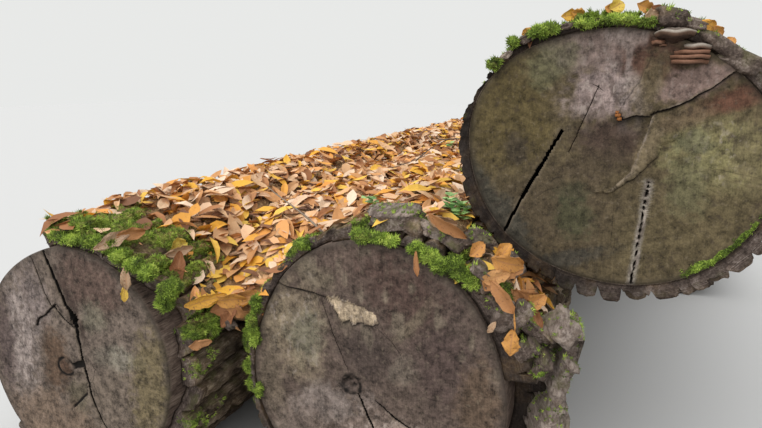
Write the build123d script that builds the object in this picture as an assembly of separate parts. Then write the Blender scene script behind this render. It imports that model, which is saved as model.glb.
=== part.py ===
from build123d import *
import os
from dataclasses import dataclass, field
from math import cos, pi, radians, sin
from random import Random

# A stack of round logs with their bark on. Two butt logs lie side by side on the ground, a third
# lies up against the right one, and a plain fourth, hidden under its far half, carries it there.
# X runs across the stack, +Y along the logs away from the sawn fronts, +Z up.
# All sizes are in millimetres and all angles in degrees, unless a name says otherwise.

# Lengths
log_length = 6000
bearer_length = 3000
taper_per_metre = 0.005
left_front = -199
middle_front = 0
top_front = 290

# Sawn faces, measured on the wood inside the bark
left_half_width = 432
left_half_height = 456
left_tilt = -26
middle_half_width = 453
middle_half_height = 487
middle_tilt = -3
top_half_width = 460
top_half_height = 393
top_tilt = -15

# Bark thickness on the four sides of each log, to the crests of its ridges
left_bark = 75
middle_bark_left = 30
middle_bark_right = 105
middle_bark_top = 75
middle_bark_bottom = 78
top_bark_left = 33
top_bark_right = 57
top_bark_top = 38
top_bark_bottom = 62
bearer_bark = 60

# Bark ridges
left_ridge_pitch = 96
middle_ridge_pitch = 88
top_ridge_pitch = 68
bearer_ridge_pitch = 90
furrow_rise = 0.34
ridge_wave = 4200
ridge_swing = 1.3
bark_spans = 3
bark_press = 8
seat_clearance = 0.4

# Where the logs lie
valley_width = 96
top_lean = 48.6
bearer_lean = 25

# Bark missing from the left log, and how far the bark ends stand back from the sawn faces
bare_from = 112
bare_to = 208
left_bark_setback = 45
middle_bark_setback = 12
middle_loose_setback = 150
middle_loose_from = -62
middle_loose_to = 8
top_bark_setback = 6

# Marks of felling and drying on the sawn faces
step_depth = 14
slab_depth = 20
check_depth = 160
check_width = 11
pith_radius = 34
pith_depth = 22

# Litter lying in the valley between the two lower logs
litter_bottom = 690
litter_foot = 36
litter_pile = 60
litter_slope = 700
litter_front = 40
litter_end_fill = 0.12
litter_points = 7

# Bracket fungi under the rim of the top log
fungus_radius = 53
fungus_root = 32
upper_fungus_angle = 84
lower_fungus_angle = 76
fungus_inset = 14
shelf_spacing = 23

lobe_share = 0.012
outline_points = 60
cutter_reach = 3000


@dataclass
class Oval:
    """An oval section across a log, its two half-axes turned by tilt about its centre."""

    half_width: float
    half_height: float
    tilt: float
    centre: Vector = field(default_factory=Vector)

    def point(self, angle, grow=0.0):
        """The point at an angle round the oval, moved outwards by grow."""
        turn = radians(angle)
        spoke = Vector((self.half_width + grow) * cos(turn), 0, (self.half_height + grow) * sin(turn))
        return self.centre + spoke.rotate(Axis.Y, -self.tilt)

    def touch(self, direction):
        """The way from the centre to the point that lies furthest in a direction."""
        local = direction.rotate(Axis.Y, self.tilt)
        stretched = Vector(local.X * self.half_width**2, 0, local.Z * self.half_height**2)
        span = (stretched.X * local.X + stretched.Z * local.Z) ** 0.5
        return (stretched / span).rotate(Axis.Y, -self.tilt)

    def grown(self, left, right, bottom, top):
        """The oval that stands off this one by a thickness on each side."""
        shift = Vector((right - left) / 2, 0, (top - bottom) / 2).rotate(Axis.Y, -self.tilt)
        half_width = self.half_width + (left + right) / 2
        half_height = self.half_height + (bottom + top) / 2
        return Oval(half_width, half_height, self.tilt, self.centre + shift)

    def moved(self, shift):
        return Oval(self.half_width, self.half_height, self.tilt, self.centre + shift)


@dataclass
class Log:
    """A log: the oval of its wood, the oval over its bark, and where its two ends are."""

    wood: Oval
    bark: Oval
    front: float
    back: float
    ridge_pitch: float
    seed: int
    seats: list = field(default_factory=list)

    def moved(self, shift):
        return Log(
            self.wood.moved(shift), self.bark.moved(shift), self.front, self.back, self.ridge_pitch, self.seed
        )


def direction_at(angle):
    """The direction across the stack at an angle up from +X."""
    return Vector(cos(radians(angle)), 0, sin(radians(angle)))


def placed(point, y):
    """A point of a section, taken to its place along the log, where the stack is a little thinner."""
    scale = 1 - taper_per_metre * y / 1000
    return Vector(point.X * scale, y, point.Z * scale)


def lofted(sections, wandering=True):
    """A solid through (y, points) sections that all have as many points, with flat facets between them.

    Between sections that only taper a facet is a flat quad. Where the points wander it is split in two.
    """
    rings = [[placed(point, y) for point in points] for y, points in sections]
    outlines = [rings[0], rings[-1]]
    for near, far in zip(rings, rings[1:]):
        for i in range(len(near)):
            a, b, c, d = near[i - 1], near[i], far[i], far[i - 1]
            outlines += [(a, b, c), (a, c, d)] if wandering else [(a, b, c, d)]
    return Solid(Shell([Face(Wire.make_polygon(outline, close=True)) for outline in outlines]))


def straight(points, front, back):
    """A solid with one outline from front to back."""
    return lofted([(front, points), (back, points)], wandering=False)


def wood_outline(log, grow=0.0):
    """The outline of the wood: an oval with a few shallow lobes, as a trunk has."""
    draw = Random(log.seed)
    phases = [draw.uniform(0, 2 * pi) for _ in range(2)]
    points = []
    for i in range(outline_points):
        angle = 360 * i / outline_points
        turn = radians(angle)
        lobes = sin(3 * turn + phases[0]) + 0.6 * sin(5 * turn + phases[1])
        points.append(log.wood.point(angle, grow + lobe_share * log.wood.half_width * lobes))
    return points


def wood(log):
    return straight(wood_outline(log), log.front, log.back)


def ridges_of(log):
    """The furrows that part the bark ridges: their angles round the log, how they wander, ridge heights."""
    girth = pi * (log.bark.half_width + log.bark.half_height)
    count = round(girth / log.ridge_pitch)
    draw = Random(log.seed)
    weights = [draw.uniform(0.72, 1.3) for _ in range(count)]
    ridges = []
    start = 0.0
    for weight in weights:
        ridges.append((start, draw.uniform(0.9, 1.0), draw.uniform(0, 2 * pi)))
        start += 360 * weight / sum(weights)
    return ridges


def bark_outline(log, ridges, y):
    """The ridged outline of the bark at one place along the log: four points to a ridge."""
    shape = ((0.0, furrow_rise), (0.17, 0.9), (0.5, 1.0), (0.84, 0.93))
    furrows = [start + ridge_swing * sin(2 * pi * y / ridge_wave + phase) for start, _, phase in ridges]
    furrows.append(furrows[0] + 360)
    points = []
    for (_, height, _), near, far in zip(ridges, furrows, furrows[1:]):
        for share, rise in shape:
            angle = near + (far - near) * share
            inner = log.wood.point(angle)
            points.append(inner + (log.bark.point(angle) - inner) * (rise * height))
    return points


def bark_outside(log, front, spans):
    """The solid inside the outer surface of a log's bark, whose ridges wander a little from end to end."""
    ridges = ridges_of(log)
    stations = [front + (log.back - front) * i / spans for i in range(spans + 1)]
    return lofted([(y, bark_outline(log, ridges, y)) for y in stations])


def beyond(point, normal, front, back):
    """All that lies beyond a plane along the log, to cut a flat where the log bears on something."""
    along = Vector(-normal.Z, 0, normal.X)
    corners = [point - along * cutter_reach, point + along * cutter_reach]
    corners += [p + normal * cutter_reach for p in reversed(corners)]
    return straight(corners, front, back)


def sector(log, start, end, front, back):
    """A wedge of the log's section from one angle to another, to take bark away there."""
    centre = log.wood.centre
    rim = [centre + direction_at(start + (end - start) * i / 4) * cutter_reach for i in range(5)]
    return straight([centre] + rim, front, back)


def bark(log, spans, setback=0.0):
    """The bark of a log: its ridged outside, bored for the wood and pressed flat where it bears."""
    front = log.front + setback
    shell = bark_outside(log, front, spans)
    shell -= straight(wood_outline(log, seat_clearance), front - bark_press, log.back + bark_press)
    for point, normal in log.seats:
        shell -= beyond(point, normal, front - bark_press, log.back + bark_press)
    return shell


def on_face(log, points, y):
    """Points given across a sawn face from the middle of its wood, at a place along the log."""
    return [Vector(log.wood.centre.X + x, y, log.wood.centre.Z + z) for x, z in points]


def sunk(log, outline, depth):
    """A flat-bottomed cut of an outline into the sawn face of a log."""
    face = Face(Wire.make_polygon(on_face(log, outline, log.front - 1), close=True))
    return extrude(face, amount=depth + 1, dir=(0, 1, 0))


def check(log, path, width, depth):
    """A drying crack along a path on the face, open in the middle and closed at both ends."""
    last = len(path) - 1
    near, far = [], []
    for i, (x, z) in enumerate(path):
        before, after = path[max(i - 1, 0)], path[min(i + 1, last)]
        way = Vector(after[0] - before[0], 0, after[1] - before[1]).normalized()
        half = width / 2 * max(sin(pi * i / last), 0.02)
        near.append((x - way.Z * half, z + way.X * half))
        far.append((x + way.Z * half, z - way.X * half))
    return sunk(log, near + far[::-1], depth)


def pith(log, x, z):
    """The rotted heart of a log, a shallow cone in the sawn face."""
    mouth = on_face(log, [(x, z)], log.front + pith_depth)[0]
    plane = Plane(origin=mouth, z_dir=(0, -1, 0))
    return plane * Pos(0, 0, pith_depth / 2) * Cone(pith_radius / 3, pith_radius, pith_depth)


def bracket(root, radius, thickness):
    """One shelf of a bracket fungus, a half disc that thins from its root to its rim."""
    under, rim, crown = (radius * 0.8, -thickness / 4), (radius, 0), (0, thickness / 2)
    profile = Polyline((0, -thickness / 2), under, rim, crown, close=True)
    shelf = revolve(Plane.XZ * make_face(profile), Axis.Z, 360)
    front_half = Pos(0, -radius, 0) * Box(2 * radius, 2 * radius, 2 * thickness)
    return Pos(root) * (shelf & front_half)


# The two lower logs stand on the ground beside each other
def on_ground(wood_oval, bark_oval, front, ridge_pitch, seed):
    """A log set down on the ground, pressed into it by the depth that crushes its bark."""
    lift = -bark_oval.touch(Vector(0, 0, -1)).Z - bark_oval.centre.Z - bark_press
    log = Log(wood_oval, bark_oval, front, front + log_length, ridge_pitch, seed).moved(Vector(0, 0, lift))
    log.seats.append((Vector(0, 0, 0), Vector(0, 0, -1)))
    return log


middle_wood = Oval(middle_half_width, middle_half_height, middle_tilt)
middle_oval = middle_wood.grown(middle_bark_left, middle_bark_right, middle_bark_bottom, middle_bark_top)
middle = on_ground(middle_wood, middle_oval, middle_front, middle_ridge_pitch, seed=11)

left_wood = Oval(left_half_width, left_half_height, left_tilt)
left_oval = left_wood.grown(left_bark, left_bark, left_bark, left_bark)
valley_right = middle.bark.centre.X + middle.bark.touch(Vector(-1, 0, 0)).X
left_shift = Vector(valley_right - valley_width - left_oval.touch(Vector(1, 0, 0)).X)
left_wood, left_oval = left_wood.moved(left_shift), left_oval.moved(left_shift)
left = on_ground(left_wood, left_oval, left_front, left_ridge_pitch, seed=5)

# The top log lies against the upper right of the middle log
top_wood = Oval(top_half_width, top_half_height, top_tilt)
top_oval = top_wood.grown(top_bark_left, top_bark_right, top_bark_bottom, top_bark_top)
lean = direction_at(top_lean)
seat = middle.bark.centre + middle.bark.touch(lean) - lean * bark_press
top_centre = seat - top_oval.touch(-lean) - lean * bark_press
top_shift = top_centre - top_oval.centre
top = Log(top_wood, top_oval, top_front, top_front + log_length, top_ridge_pitch, seed=23).moved(top_shift)
middle.seats.append((seat, lean))
top.seats.append((seat + lean * seat_clearance, -lean))

# The bearer stands on the ground and its size is what reaches up to the top log
down = direction_at(bearer_lean - 90)
perch = top.bark.centre + top.bark.touch(down) - down * bark_press
bearer_radius = (perch.Z + bark_press - down.Z * bark_press) / (1 - down.Z)
bearer_centre = perch + down * (bearer_radius - bark_press)
bearer_back = middle.back
bearer_wood = Oval(bearer_radius - bearer_bark, bearer_radius - bearer_bark, 0, bearer_centre)
bearer_oval = Oval(bearer_radius, bearer_radius, 0, bearer_centre)
bearer_front = bearer_back - bearer_length
bearer = Log(bearer_wood, bearer_oval, bearer_front, bearer_back, bearer_ridge_pitch, seed=31)
bearer.seats.append((Vector(0, 0, 0), Vector(0, 0, -1)))
bearer.seats.append((perch + down * seat_clearance, -down))
top.seats.append((perch, down))


def left_log():
    """The left log, with a long forked check across its face and a small ledge beside it."""
    body = wood(left)
    long_check = [(-81, 414), (-39, 314), (-8, 235), (27, 187), (46, 19), (70, -112), (112, -234)]
    long_check.append((130, -330))
    body -= check(left, long_check, 1.6 * check_width, check_depth)
    body -= check(left, [(-150, 400), (-120, 310), (-92, 235), (-60, 205)], check_width, check_depth / 2)
    body -= sunk(left, [(-50, -31), (62, -33), (57, -103), (-39, -184)], step_depth)
    return body


def middle_log():
    """The middle log: a second cut ran in below a ledge on its left, and checks leave its heart."""
    body = wood(middle)
    below_ledge = [(-620, 318), (-420, 318), (-308, 306), (-202, 295), (-162, 283), (27, 210), (75, 163)]
    below_ledge += [(75, -620), (-620, -620)]
    cut = sunk(middle, below_ledge, step_depth)
    floor_of_cut = middle_front + step_depth
    wedge = [(-middle_half_width, floor_of_cut), (75, floor_of_cut), (75, middle_front)]
    ramp = Face(Wire.make_polygon([Vector(x, y, -cutter_reach) for x, y in wedge], close=True))
    body -= cut - extrude(ramp, amount=2 * cutter_reach, dir=(0, 0, 1))
    body -= check(middle, [(-180, 265), (-130, 140), (-85, 27), (-71, -10)], check_width, check_depth)
    body -= check(middle, [(-50, -40), (8, -153), (60, -300)], check_width, check_depth)
    body -= check(middle, [(0, -40), (129, -125), (260, -190)], check_width, check_depth)
    body -= pith(middle, -71, -18)
    return body


def top_log():
    """The top log: a torn slab stands proud at its upper right, over three open checks."""
    body = wood(top)
    slab = [(560, 200), (302, 270), (250, 221), (198, 186), (109, 148), (102, 133), (89, 67), (71, 21)]
    slab += [(51, -41), (-20, 60), (12, 154), (61, 228), (92, 327), (80, 600)]
    around = [(-700, 600), (-700, -600), (700, -600), (700, 200)]
    body -= sunk(top, slab + around, slab_depth)
    body -= check(top, [(-157, 80), (-248, -100), (-339, -285)], 1.4 * check_width, check_depth)
    body -= check(top, [(-55, 219), (-129, 19), (-94, -59)], check_width / 2, check_depth / 2)
    body -= check(top, [(110, -68), (98, -230), (86, -350)], 1.4 * check_width, check_depth)
    return body


def left_bark_shell():
    """The left log's bark, gone from its upper left side."""
    shell = bark(left, bark_spans, left_bark_setback)
    return shell - sector(left, bare_from, bare_to, left.front - 1, left.back + 1)


def middle_bark_shell():
    """The middle log's bark, broken back at the front where it stands loose on the right."""
    shell = bark(middle, bark_spans, middle_bark_setback)
    loose_end = middle.front + middle_loose_setback
    return shell - sector(middle, middle_loose_from, middle_loose_to, middle.front - 1, loose_end)


def litter_section(fill):
    """The litter's outline across the valley, heaped between the shoulders of the two logs."""
    west = left.bark.point(90 - litter_foot - left.bark.tilt)
    east = middle.bark.point(90 + litter_foot - middle.bark.tilt)
    rim = []
    for i in range(litter_points):
        share = i / (litter_points - 1)
        height = west.Z + (east.Z - west.Z) * share + litter_pile * sin(pi * share)
        level = litter_bottom + (height - litter_bottom) * fill
        rim.append(Vector(west.X + (east.X - west.X) * share, 0, level))
    sunk_feet = [Vector(middle.bark.centre.X, 0, rim[-1].Z), Vector(middle.bark.centre.X, 0, litter_bottom)]
    sunk_feet += [Vector(left.bark.centre.X, 0, litter_bottom), Vector(left.bark.centre.X, 0, rim[0].Z)]
    return rim + sunk_feet


def leaf_litter():
    """Fallen leaves and twigs that fill the valley, sloping down at both ends."""
    front = middle.front + litter_front
    back = left.back - litter_front
    stations = [(front, litter_end_fill), (front + litter_slope / 2, 0.72), (front + litter_slope, 1.0)]
    stations += [(back - litter_slope, 1.0), (back, litter_end_fill)]
    bed = lofted([(y, litter_section(fill)) for y, fill in stations])
    bed -= bark_outside(left, left.front + left_bark_setback, bark_spans)
    bed -= bark_outside(middle, middle.front + middle_bark_setback, bark_spans)
    return max(bed.solids(), key=lambda solid: solid.volume)


def fungus(angle, first, shares):
    """Shelves of bracket fungus grown together, one under the other from a place at the top log's rim."""
    rim = top.wood.point(angle, -fungus_inset)
    shelves = None
    for i, share in enumerate(shares):
        root = Vector(rim.X, top.front - seat_clearance, rim.Z - shelf_spacing * (first + i))
        shelf = bracket(root, fungus_radius * share, fungus_root * share)
        shelves = shelf if shelves is None else shelves + shelf
    return shelves


nodes = {
    "log_left": left_log(),
    "log_middle": middle_log(),
    "log_top": top_log(),
    "log_bearer": wood(bearer),
    "bark_left": left_bark_shell(),
    "bark_middle": middle_bark_shell(),
    "bark_top": bark(top, bark_spans, top_bark_setback),
    "bark_bearer": bark(bearer, 1),
    "leaf_litter": leaf_litter(),
    "fungus_upper": fungus(upper_fungus_angle, 0, [1.0]),
    "fungus_lower": fungus(lower_fungus_angle, 0.7, [0.78, 0.96, 0.85]),
}

# The origin is on the ground, under the middle of the whole stack
box = Compound(children=[Compound(node.solids()) for node in nodes.values()]).bounding_box()
to_origin = Pos(-box.center().X, -box.center().Y, -box.min.Z)

os.makedirs("parts", exist_ok=True)
for name, node in nodes.items():
    placed_node = to_origin * node
    placed_node.label = name
    export_step(placed_node, f"parts/{name}.step")
    print(name, len(placed_node.solids()), round(placed_node.volume / 1e9, 4))
print("size", box.size, "bearer radius", round(bearer_radius), "origin shift", to_origin.position)
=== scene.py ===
# %% [markdown]
# # A stack of logs
# Three thick logs lie stacked: two side by side on the ground, and a third up against the right one.
# A plain fourth log, hidden behind, carries the back of the third. Their sawn ends are grey with
# weather, their bark stands in deep ridges, and leaves and moss have settled on everything.
#
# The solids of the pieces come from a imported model, which is loaded as a frame that doesn't move.
# This script makes what the eye sees of them: the rough bark, the cracked wood, leaves, moss and fungi.

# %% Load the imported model
from itertools import product
from math import cos, pi, radians, sin
from random import Random

import bpy
import numpy as np
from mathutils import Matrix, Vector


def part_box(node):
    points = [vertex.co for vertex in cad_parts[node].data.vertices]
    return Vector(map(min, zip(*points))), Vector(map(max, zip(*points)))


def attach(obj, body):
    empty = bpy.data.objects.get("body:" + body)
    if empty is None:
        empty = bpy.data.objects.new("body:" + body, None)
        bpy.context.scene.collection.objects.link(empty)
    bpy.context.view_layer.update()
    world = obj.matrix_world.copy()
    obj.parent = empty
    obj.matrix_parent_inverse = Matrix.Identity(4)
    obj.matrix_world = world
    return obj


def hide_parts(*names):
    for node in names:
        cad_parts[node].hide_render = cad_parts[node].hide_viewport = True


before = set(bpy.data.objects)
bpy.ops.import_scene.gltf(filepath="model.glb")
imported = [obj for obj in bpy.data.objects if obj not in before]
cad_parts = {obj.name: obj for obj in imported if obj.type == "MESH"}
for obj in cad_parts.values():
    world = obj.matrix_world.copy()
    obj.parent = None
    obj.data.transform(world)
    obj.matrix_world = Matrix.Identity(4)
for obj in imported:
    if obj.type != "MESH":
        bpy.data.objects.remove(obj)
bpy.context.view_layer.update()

print("solids", sorted(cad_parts))

# %% [markdown]
# ## The camera
# The photograph was taken from a little to the right of the middle log, at eye height, looking down and
# to the left along the logs. A camera needs a place, a direction and a lens. It is made first.

# %% The camera
photo_width = 762
focal_pixels = 600
sensor_width = 36
camera_place = (0.6674, -4.72, 1.5486)
camera_down = 12.771
camera_left = 21.388

camera = bpy.data.objects.new("camera", bpy.data.cameras.new("camera"))
camera.data.sensor_width = sensor_width
camera.data.lens = focal_pixels / photo_width * sensor_width
camera.location = camera_place
camera.rotation_euler = (radians(90 - camera_down), 0, radians(camera_left))
bpy.context.scene.collection.objects.link(camera)
bpy.context.scene.camera = camera
print("lens", round(camera.data.lens, 2), "mm")

# %% [markdown]
# ## The plan of the stack
# A log is drawn by ovals: one round its wood, and a larger one over the crests of its bark. The same few
# sizes as in the solids place them here, so that each dressed log lies exactly where its solid is. The
# stack's own zero is on the ground under the middle log's sawn face, and the frame says where that is.

# %% Ovals and logs
log_length = 6.0
bearer_length = 3.0
taper_per_metre = 0.005
bark_press = 0.008
seat_gap = 0.0004
valley_width = 0.096
lobe_share = 0.012
ridge_wave = 4.2
ridge_swing = 1.3


def xyz(x, y, z):
    """Points from their three coordinates, which are stretched to one shape."""
    return np.stack(np.broadcast_arrays(x, y, z), -1)


def turned(vectors, degrees):
    """Vectors across the stack, turned about the middle of a section."""
    turn = radians(degrees)
    x, z = vectors[..., 0], vectors[..., 1]
    return np.stack([x * cos(turn) - z * sin(turn), x * sin(turn) + z * cos(turn)], -1)


class Oval:
    """An oval section across a log: half width, half height, tilt in degrees, and centre (x, z)."""

    def __init__(self, half_width, half_height, tilt, centre=(0, 0)):
        self.half = np.array((half_width, half_height))
        self.tilt = tilt
        self.centre = np.array(centre, float)

    def point(self, angle, grow=0.0):
        """Points at angles in degrees round the oval, moved outwards by grow."""
        turn = np.radians(np.asarray(angle, float))
        spokes = np.stack([(self.half[0] + grow) * np.cos(turn), (self.half[1] + grow) * np.sin(turn)], -1)
        return self.centre + turned(spokes, self.tilt)

    def touch(self, direction):
        """The way from the centre to the point that lies furthest in a direction."""
        local = turned(direction, -self.tilt)
        stretched = local * self.half**2
        return turned(stretched / np.sqrt(stretched @ local), self.tilt)

    def grown(self, left, right, bottom, top):
        """The oval that stands off this one by a thickness on each side."""
        shift = turned(np.array((right - left, top - bottom)) / 2, self.tilt)
        half = self.half + np.array((left + right, bottom + top)) / 2
        return Oval(half[0], half[1], self.tilt, self.centre + shift)


class Log:
    """A log: its wood and bark ovals, its two ends, its ridge pitch, and the flats it is pressed on."""

    def __init__(self, wood, bark, front, back, pitch, seed):
        self.wood, self.bark, self.front, self.back = wood, bark, front, back
        self.pitch, self.seed, self.seats = pitch, seed, []

    def shift(self, way):
        """Moves the whole log across the stack."""
        self.wood.centre += way
        self.bark.centre += way


def direction(angle):
    """The direction across the stack at an angle up from +X."""
    return np.array((cos(radians(angle)), sin(radians(angle))))


def on_ground(wood, bark, front, pitch, seed):
    """A log set down on the ground, pressed into it by the depth that crushes its bark."""
    log = Log(wood, bark, front, front + log_length, pitch, seed)
    log.shift(np.array((0, -bark.touch(direction(-90))[1] - bark.centre[1] - bark_press)))
    log.seats.append((np.zeros(2), direction(-90)))
    return log


# %% Lay the logs as the solids lie
middle_wood = Oval(0.453, 0.487, -3)
middle = on_ground(middle_wood, middle_wood.grown(0.03, 0.105, 0.078, 0.075), 0.0, 0.088, 11)

left_wood = Oval(0.432, 0.456, -26)
left = on_ground(left_wood, left_wood.grown(0.075, 0.075, 0.075, 0.075), -0.199, 0.096, 5)
valley_right = middle.bark.centre[0] + middle.bark.touch(direction(180))[0]
left.shift(np.array((valley_right - valley_width - left.bark.touch(direction(0))[0], 0)))

top_wood = Oval(0.46, 0.393, -15)
top = Log(top_wood, top_wood.grown(0.033, 0.057, 0.062, 0.038), 0.29, 0.29 + log_length, 0.068, 23)
lean = direction(48.6)
seat = middle.bark.centre + middle.bark.touch(lean) - lean * bark_press
top.shift(seat - top.bark.touch(-lean) - lean * bark_press - top.bark.centre)
middle.seats.append((seat, lean))
top.seats.append((seat + lean * seat_gap, -lean))

down = direction(25 - 90)
perch = top.bark.centre + top.bark.touch(down) - down * bark_press
bearer_radius = (perch[1] + bark_press - down[1] * bark_press) / (1 - down[1])
bearer_centre = perch + down * (bearer_radius - bark_press)
bearer_wood = Oval(bearer_radius - 0.06, bearer_radius - 0.06, 0, bearer_centre)
bearer_bark = Oval(bearer_radius, bearer_radius, 0, bearer_centre)
bearer = Log(bearer_wood, bearer_bark, middle.back - bearer_length, middle.back, 0.09, 31)
bearer.seats += [(np.zeros(2), direction(-90)), (perch + down * seat_gap, -down)]
top.seats.append((perch, down))


def wood_rim(log, angle, grow=0.0):
    """The wood's outline at angles in degrees: an oval with a few shallow lobes, as a trunk has."""
    draw = Random(log.seed)
    phases = [draw.uniform(0, 2 * pi) for _ in range(2)]
    turn = np.radians(angle)
    lobes = np.sin(3 * turn + phases[0]) + 0.6 * np.sin(5 * turn + phases[1])
    return log.wood.point(angle, grow + lobe_share * log.wood.half[0] * lobes)


rim_low = wood_rim(middle, np.arange(0, 360, 6.0)).min(0)
stack_zero = np.array((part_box("log_middle")[0][0] - rim_low[0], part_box("log_middle")[0][1], 0.0))
print("stack zero", stack_zero.round(4), "left", left.wood.centre.round(3), "top", top.wood.centre.round(3))


def in_frame(across, y):
    """Points (x, z) of a section and their y along the logs, taken to the frame with the stack's taper."""
    scale = 1 - taper_per_metre * np.asarray(y)
    return xyz(across[..., 0] * scale, y, across[..., 1] * scale) + stack_zero


def on_face(points):
    """Points (x, z) of a section as points in space."""
    return xyz(points[..., 0], 0, points[..., 1])


# %% [markdown]
# ## Noise, and meshes from arrays
# Bark, rot and drift are uneven, so a smooth random field is used for all of them. It is made here with
# numpy rather than with a texture, because it also moves the points of the meshes, and because a fixed
# seed gives the same logs on every run. Meshes come straight from arrays of points, which is fast enough
# for a hundred thousand of them.

# %% A smooth random field
table_size = 4096


def noise(points, size, seed=0):
    """Smooth random values from -1 to 1 at points (n, 3), which change over about one size in metres."""
    table = np.random.default_rng(seed).uniform(-1, 1, table_size)
    places = points / size + 100.0
    cells = np.floor(places).astype(np.int64)
    part = places - cells
    part = part * part * (3 - 2 * part)
    total = np.zeros(points.shape[:-1])
    for corner in product((0, 1), repeat=3):
        cell = cells + corner
        pick = (cell[..., 0] * 73856093) ^ (cell[..., 1] * 19349663) ^ (cell[..., 2] * 83492791)
        total += table[pick % table_size] * np.prod(np.where(corner, part, 1 - part), axis=-1)
    return total


def layered(points, size, seed=0, layers=3):
    """Noise in several layers, each half as large and half as strong as the one before."""
    total = sum(noise(points, size / 2**i, seed + i) / 2**i for i in range(layers))
    return total / (2 - 0.5 ** (layers - 1))


def fade(values, start, end):
    """0 up to start, 1 from end on, and a smooth change between them."""
    share = np.clip((np.asarray(values) - start) / (end - start), 0, 1)
    return share * share * (3 - 2 * share)


def fall(values, start, end):
    """1 up to start, 0 from end on, and a smooth change between them."""
    return 1 - fade(values, start, end)


def most(*values):
    """The largest of several arrays at each point."""
    return np.maximum.reduce(np.broadcast_arrays(*values))


# %% Meshes from arrays
def make_piece(name, points, faces, marks=None, tints=None, smooth=True):
    """A piece from points (n, 3) and faces as tuples of point numbers, with named values and colours."""
    mesh = bpy.data.meshes.new(name)
    mesh.from_pydata(np.asarray(points, float).tolist(), [], faces)
    mesh.update()
    mesh.polygons.foreach_set("use_smooth", [smooth] * len(mesh.polygons))
    for key, values in (marks or {}).items():
        layer = mesh.attributes.new(key, "FLOAT", "POINT")
        layer.data.foreach_set("value", np.asarray(values, np.float32).ravel())
    for key, values in (tints or {}).items():
        layer = mesh.attributes.new(key, "FLOAT_COLOR", "POINT")
        colours = np.concatenate([values, np.ones((len(values), 1))], 1).astype(np.float32)
        layer.data.foreach_set("color", colours.ravel())
    piece = bpy.data.objects.new(name, mesh)
    bpy.context.scene.collection.objects.link(piece)
    return piece


def hand_over(piece, node=None):
    if node:
        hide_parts(node)
    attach(piece, "root")
    print(piece.name, len(piece.data.polygons), "faces")
    return piece


def neighbours(columns, closed=True):
    """The numbers of a row's points, each with the next one; the last is joined to the first if closed."""
    return [(c, (c + 1) % columns) for c in range(columns if closed else columns - 1)]


def strips(rows, columns, first=0, closed=True, flip=False):
    """Quads that join rows of points, each row a ring if closed."""
    faces = []
    for row in range(first, first + (rows - 1) * columns, columns):
        for c, n in neighbours(columns, closed):
            quad = (row + c, row + n, row + n + columns, row + c + columns)
            faces.append(quad[::-1] if flip else quad)
    return faces


def rim_of(rows, columns):
    """The numbers of the points round a grid, in order."""
    number = np.arange(rows * columns).reshape(rows, columns)
    return np.concatenate([number[0, :-1], number[:-1, -1], number[-1, :0:-1], number[:0:-1, 0]]).tolist()


# %% [markdown]
# ## The sawn wood
# A sawn end is a flat cut that weather has worked on: it has opened in checks from the heart, torn
# slabs stand proud of it, and the heart has rotted. A flat disc with a picture of cracks would look
# painted from the side, so the end is a fine grid whose points are pushed into the wood along each
# mark. The grid is drawn together near a crack, so its edges stay sharp. Colours are mixed on the same
# points: a weathered face is a patchwork, so each face has a short list of stained patches.

# %% Tools for marks on a face
mm = 0.001


def along(points, path):
    """For points (n, 2): distance and way to a bent line in mm, and how far along it that is."""
    path = np.asarray(path, float) * mm
    lengths = np.linalg.norm(np.diff(path, axis=0), axis=1)
    starts = np.concatenate([[0], np.cumsum(lengths)])
    best = np.full(len(points), 1e9)
    way = np.zeros((len(points), 2))
    share = np.zeros(len(points))
    for start, end, length, before in zip(path, path[1:], lengths, starts):
        step = end - start
        part = np.clip((points - start) @ step / length**2, 0, 1)
        to_line = start + part[:, None] * step - points
        gap = np.linalg.norm(to_line, axis=1)
        nearer = gap < best
        best = np.where(nearer, gap, best)
        way = np.where(nearer[:, None], to_line, way)
        share = np.where(nearer, (before + part * length) / starts[-1], share)
    return best, way, share


def inside(points, outline):
    """1 for points (n, 2) that an outline in mm holds, and 0 for the others."""
    outline = np.asarray(outline, float) * mm
    crossings = np.zeros(len(points), int)
    for (x0, z0), (x1, z1) in zip(outline, np.roll(outline, -1, axis=0)):
        spans = (points[:, 1] < z0) != (points[:, 1] < z1)
        height = np.where(spans, points[:, 1] - z0, 0)
        crossings += spans & (points[:, 0] < x0 + (x1 - x0) * height / (z1 - z0 + 1e-12))
    return (crossings % 2).astype(float)


def wavered(points, size=0.03, amount=0.003, seed=3):
    """Face points moved a little about, so that a straight mark measured on them comes out uneven."""
    offsets = [layered(on_face(points), size, seed + 10 * axis, 2) for axis in range(2)]
    return points + amount * np.stack(offsets, -1)


def drawn_in(points, path, reach=0.028, power=2.1):
    """Grid points drawn towards a line, so that the mesh is finer along it."""
    gap, way, _ = along(wavered(points), path)
    share = np.clip(gap / reach, 0, 1)
    return points + way * (1 - share ** (power - 1))[:, None]


# %% Cracks and stains
line_reach = 0.01


class Crack:
    """A check in a face: its path and widths in mm, from one end to the other, and its depth."""

    def __init__(self, path, widths, depth):
        self.path, self.widths, self.depth = np.array(path), np.array(widths) * mm, depth

    def near(self, points):
        """The distance to the crack, less than 0 on one of its sides, and half its width there."""
        gap, way, share = along(wavered(points), self.path)
        half = np.interp(share, np.linspace(0, 1, len(self.widths)), self.widths) / 2
        run = self.path[-1] - self.path[0]
        return gap * np.sign(run[0] * way[:, 1] - run[1] * way[:, 0]), half


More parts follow.
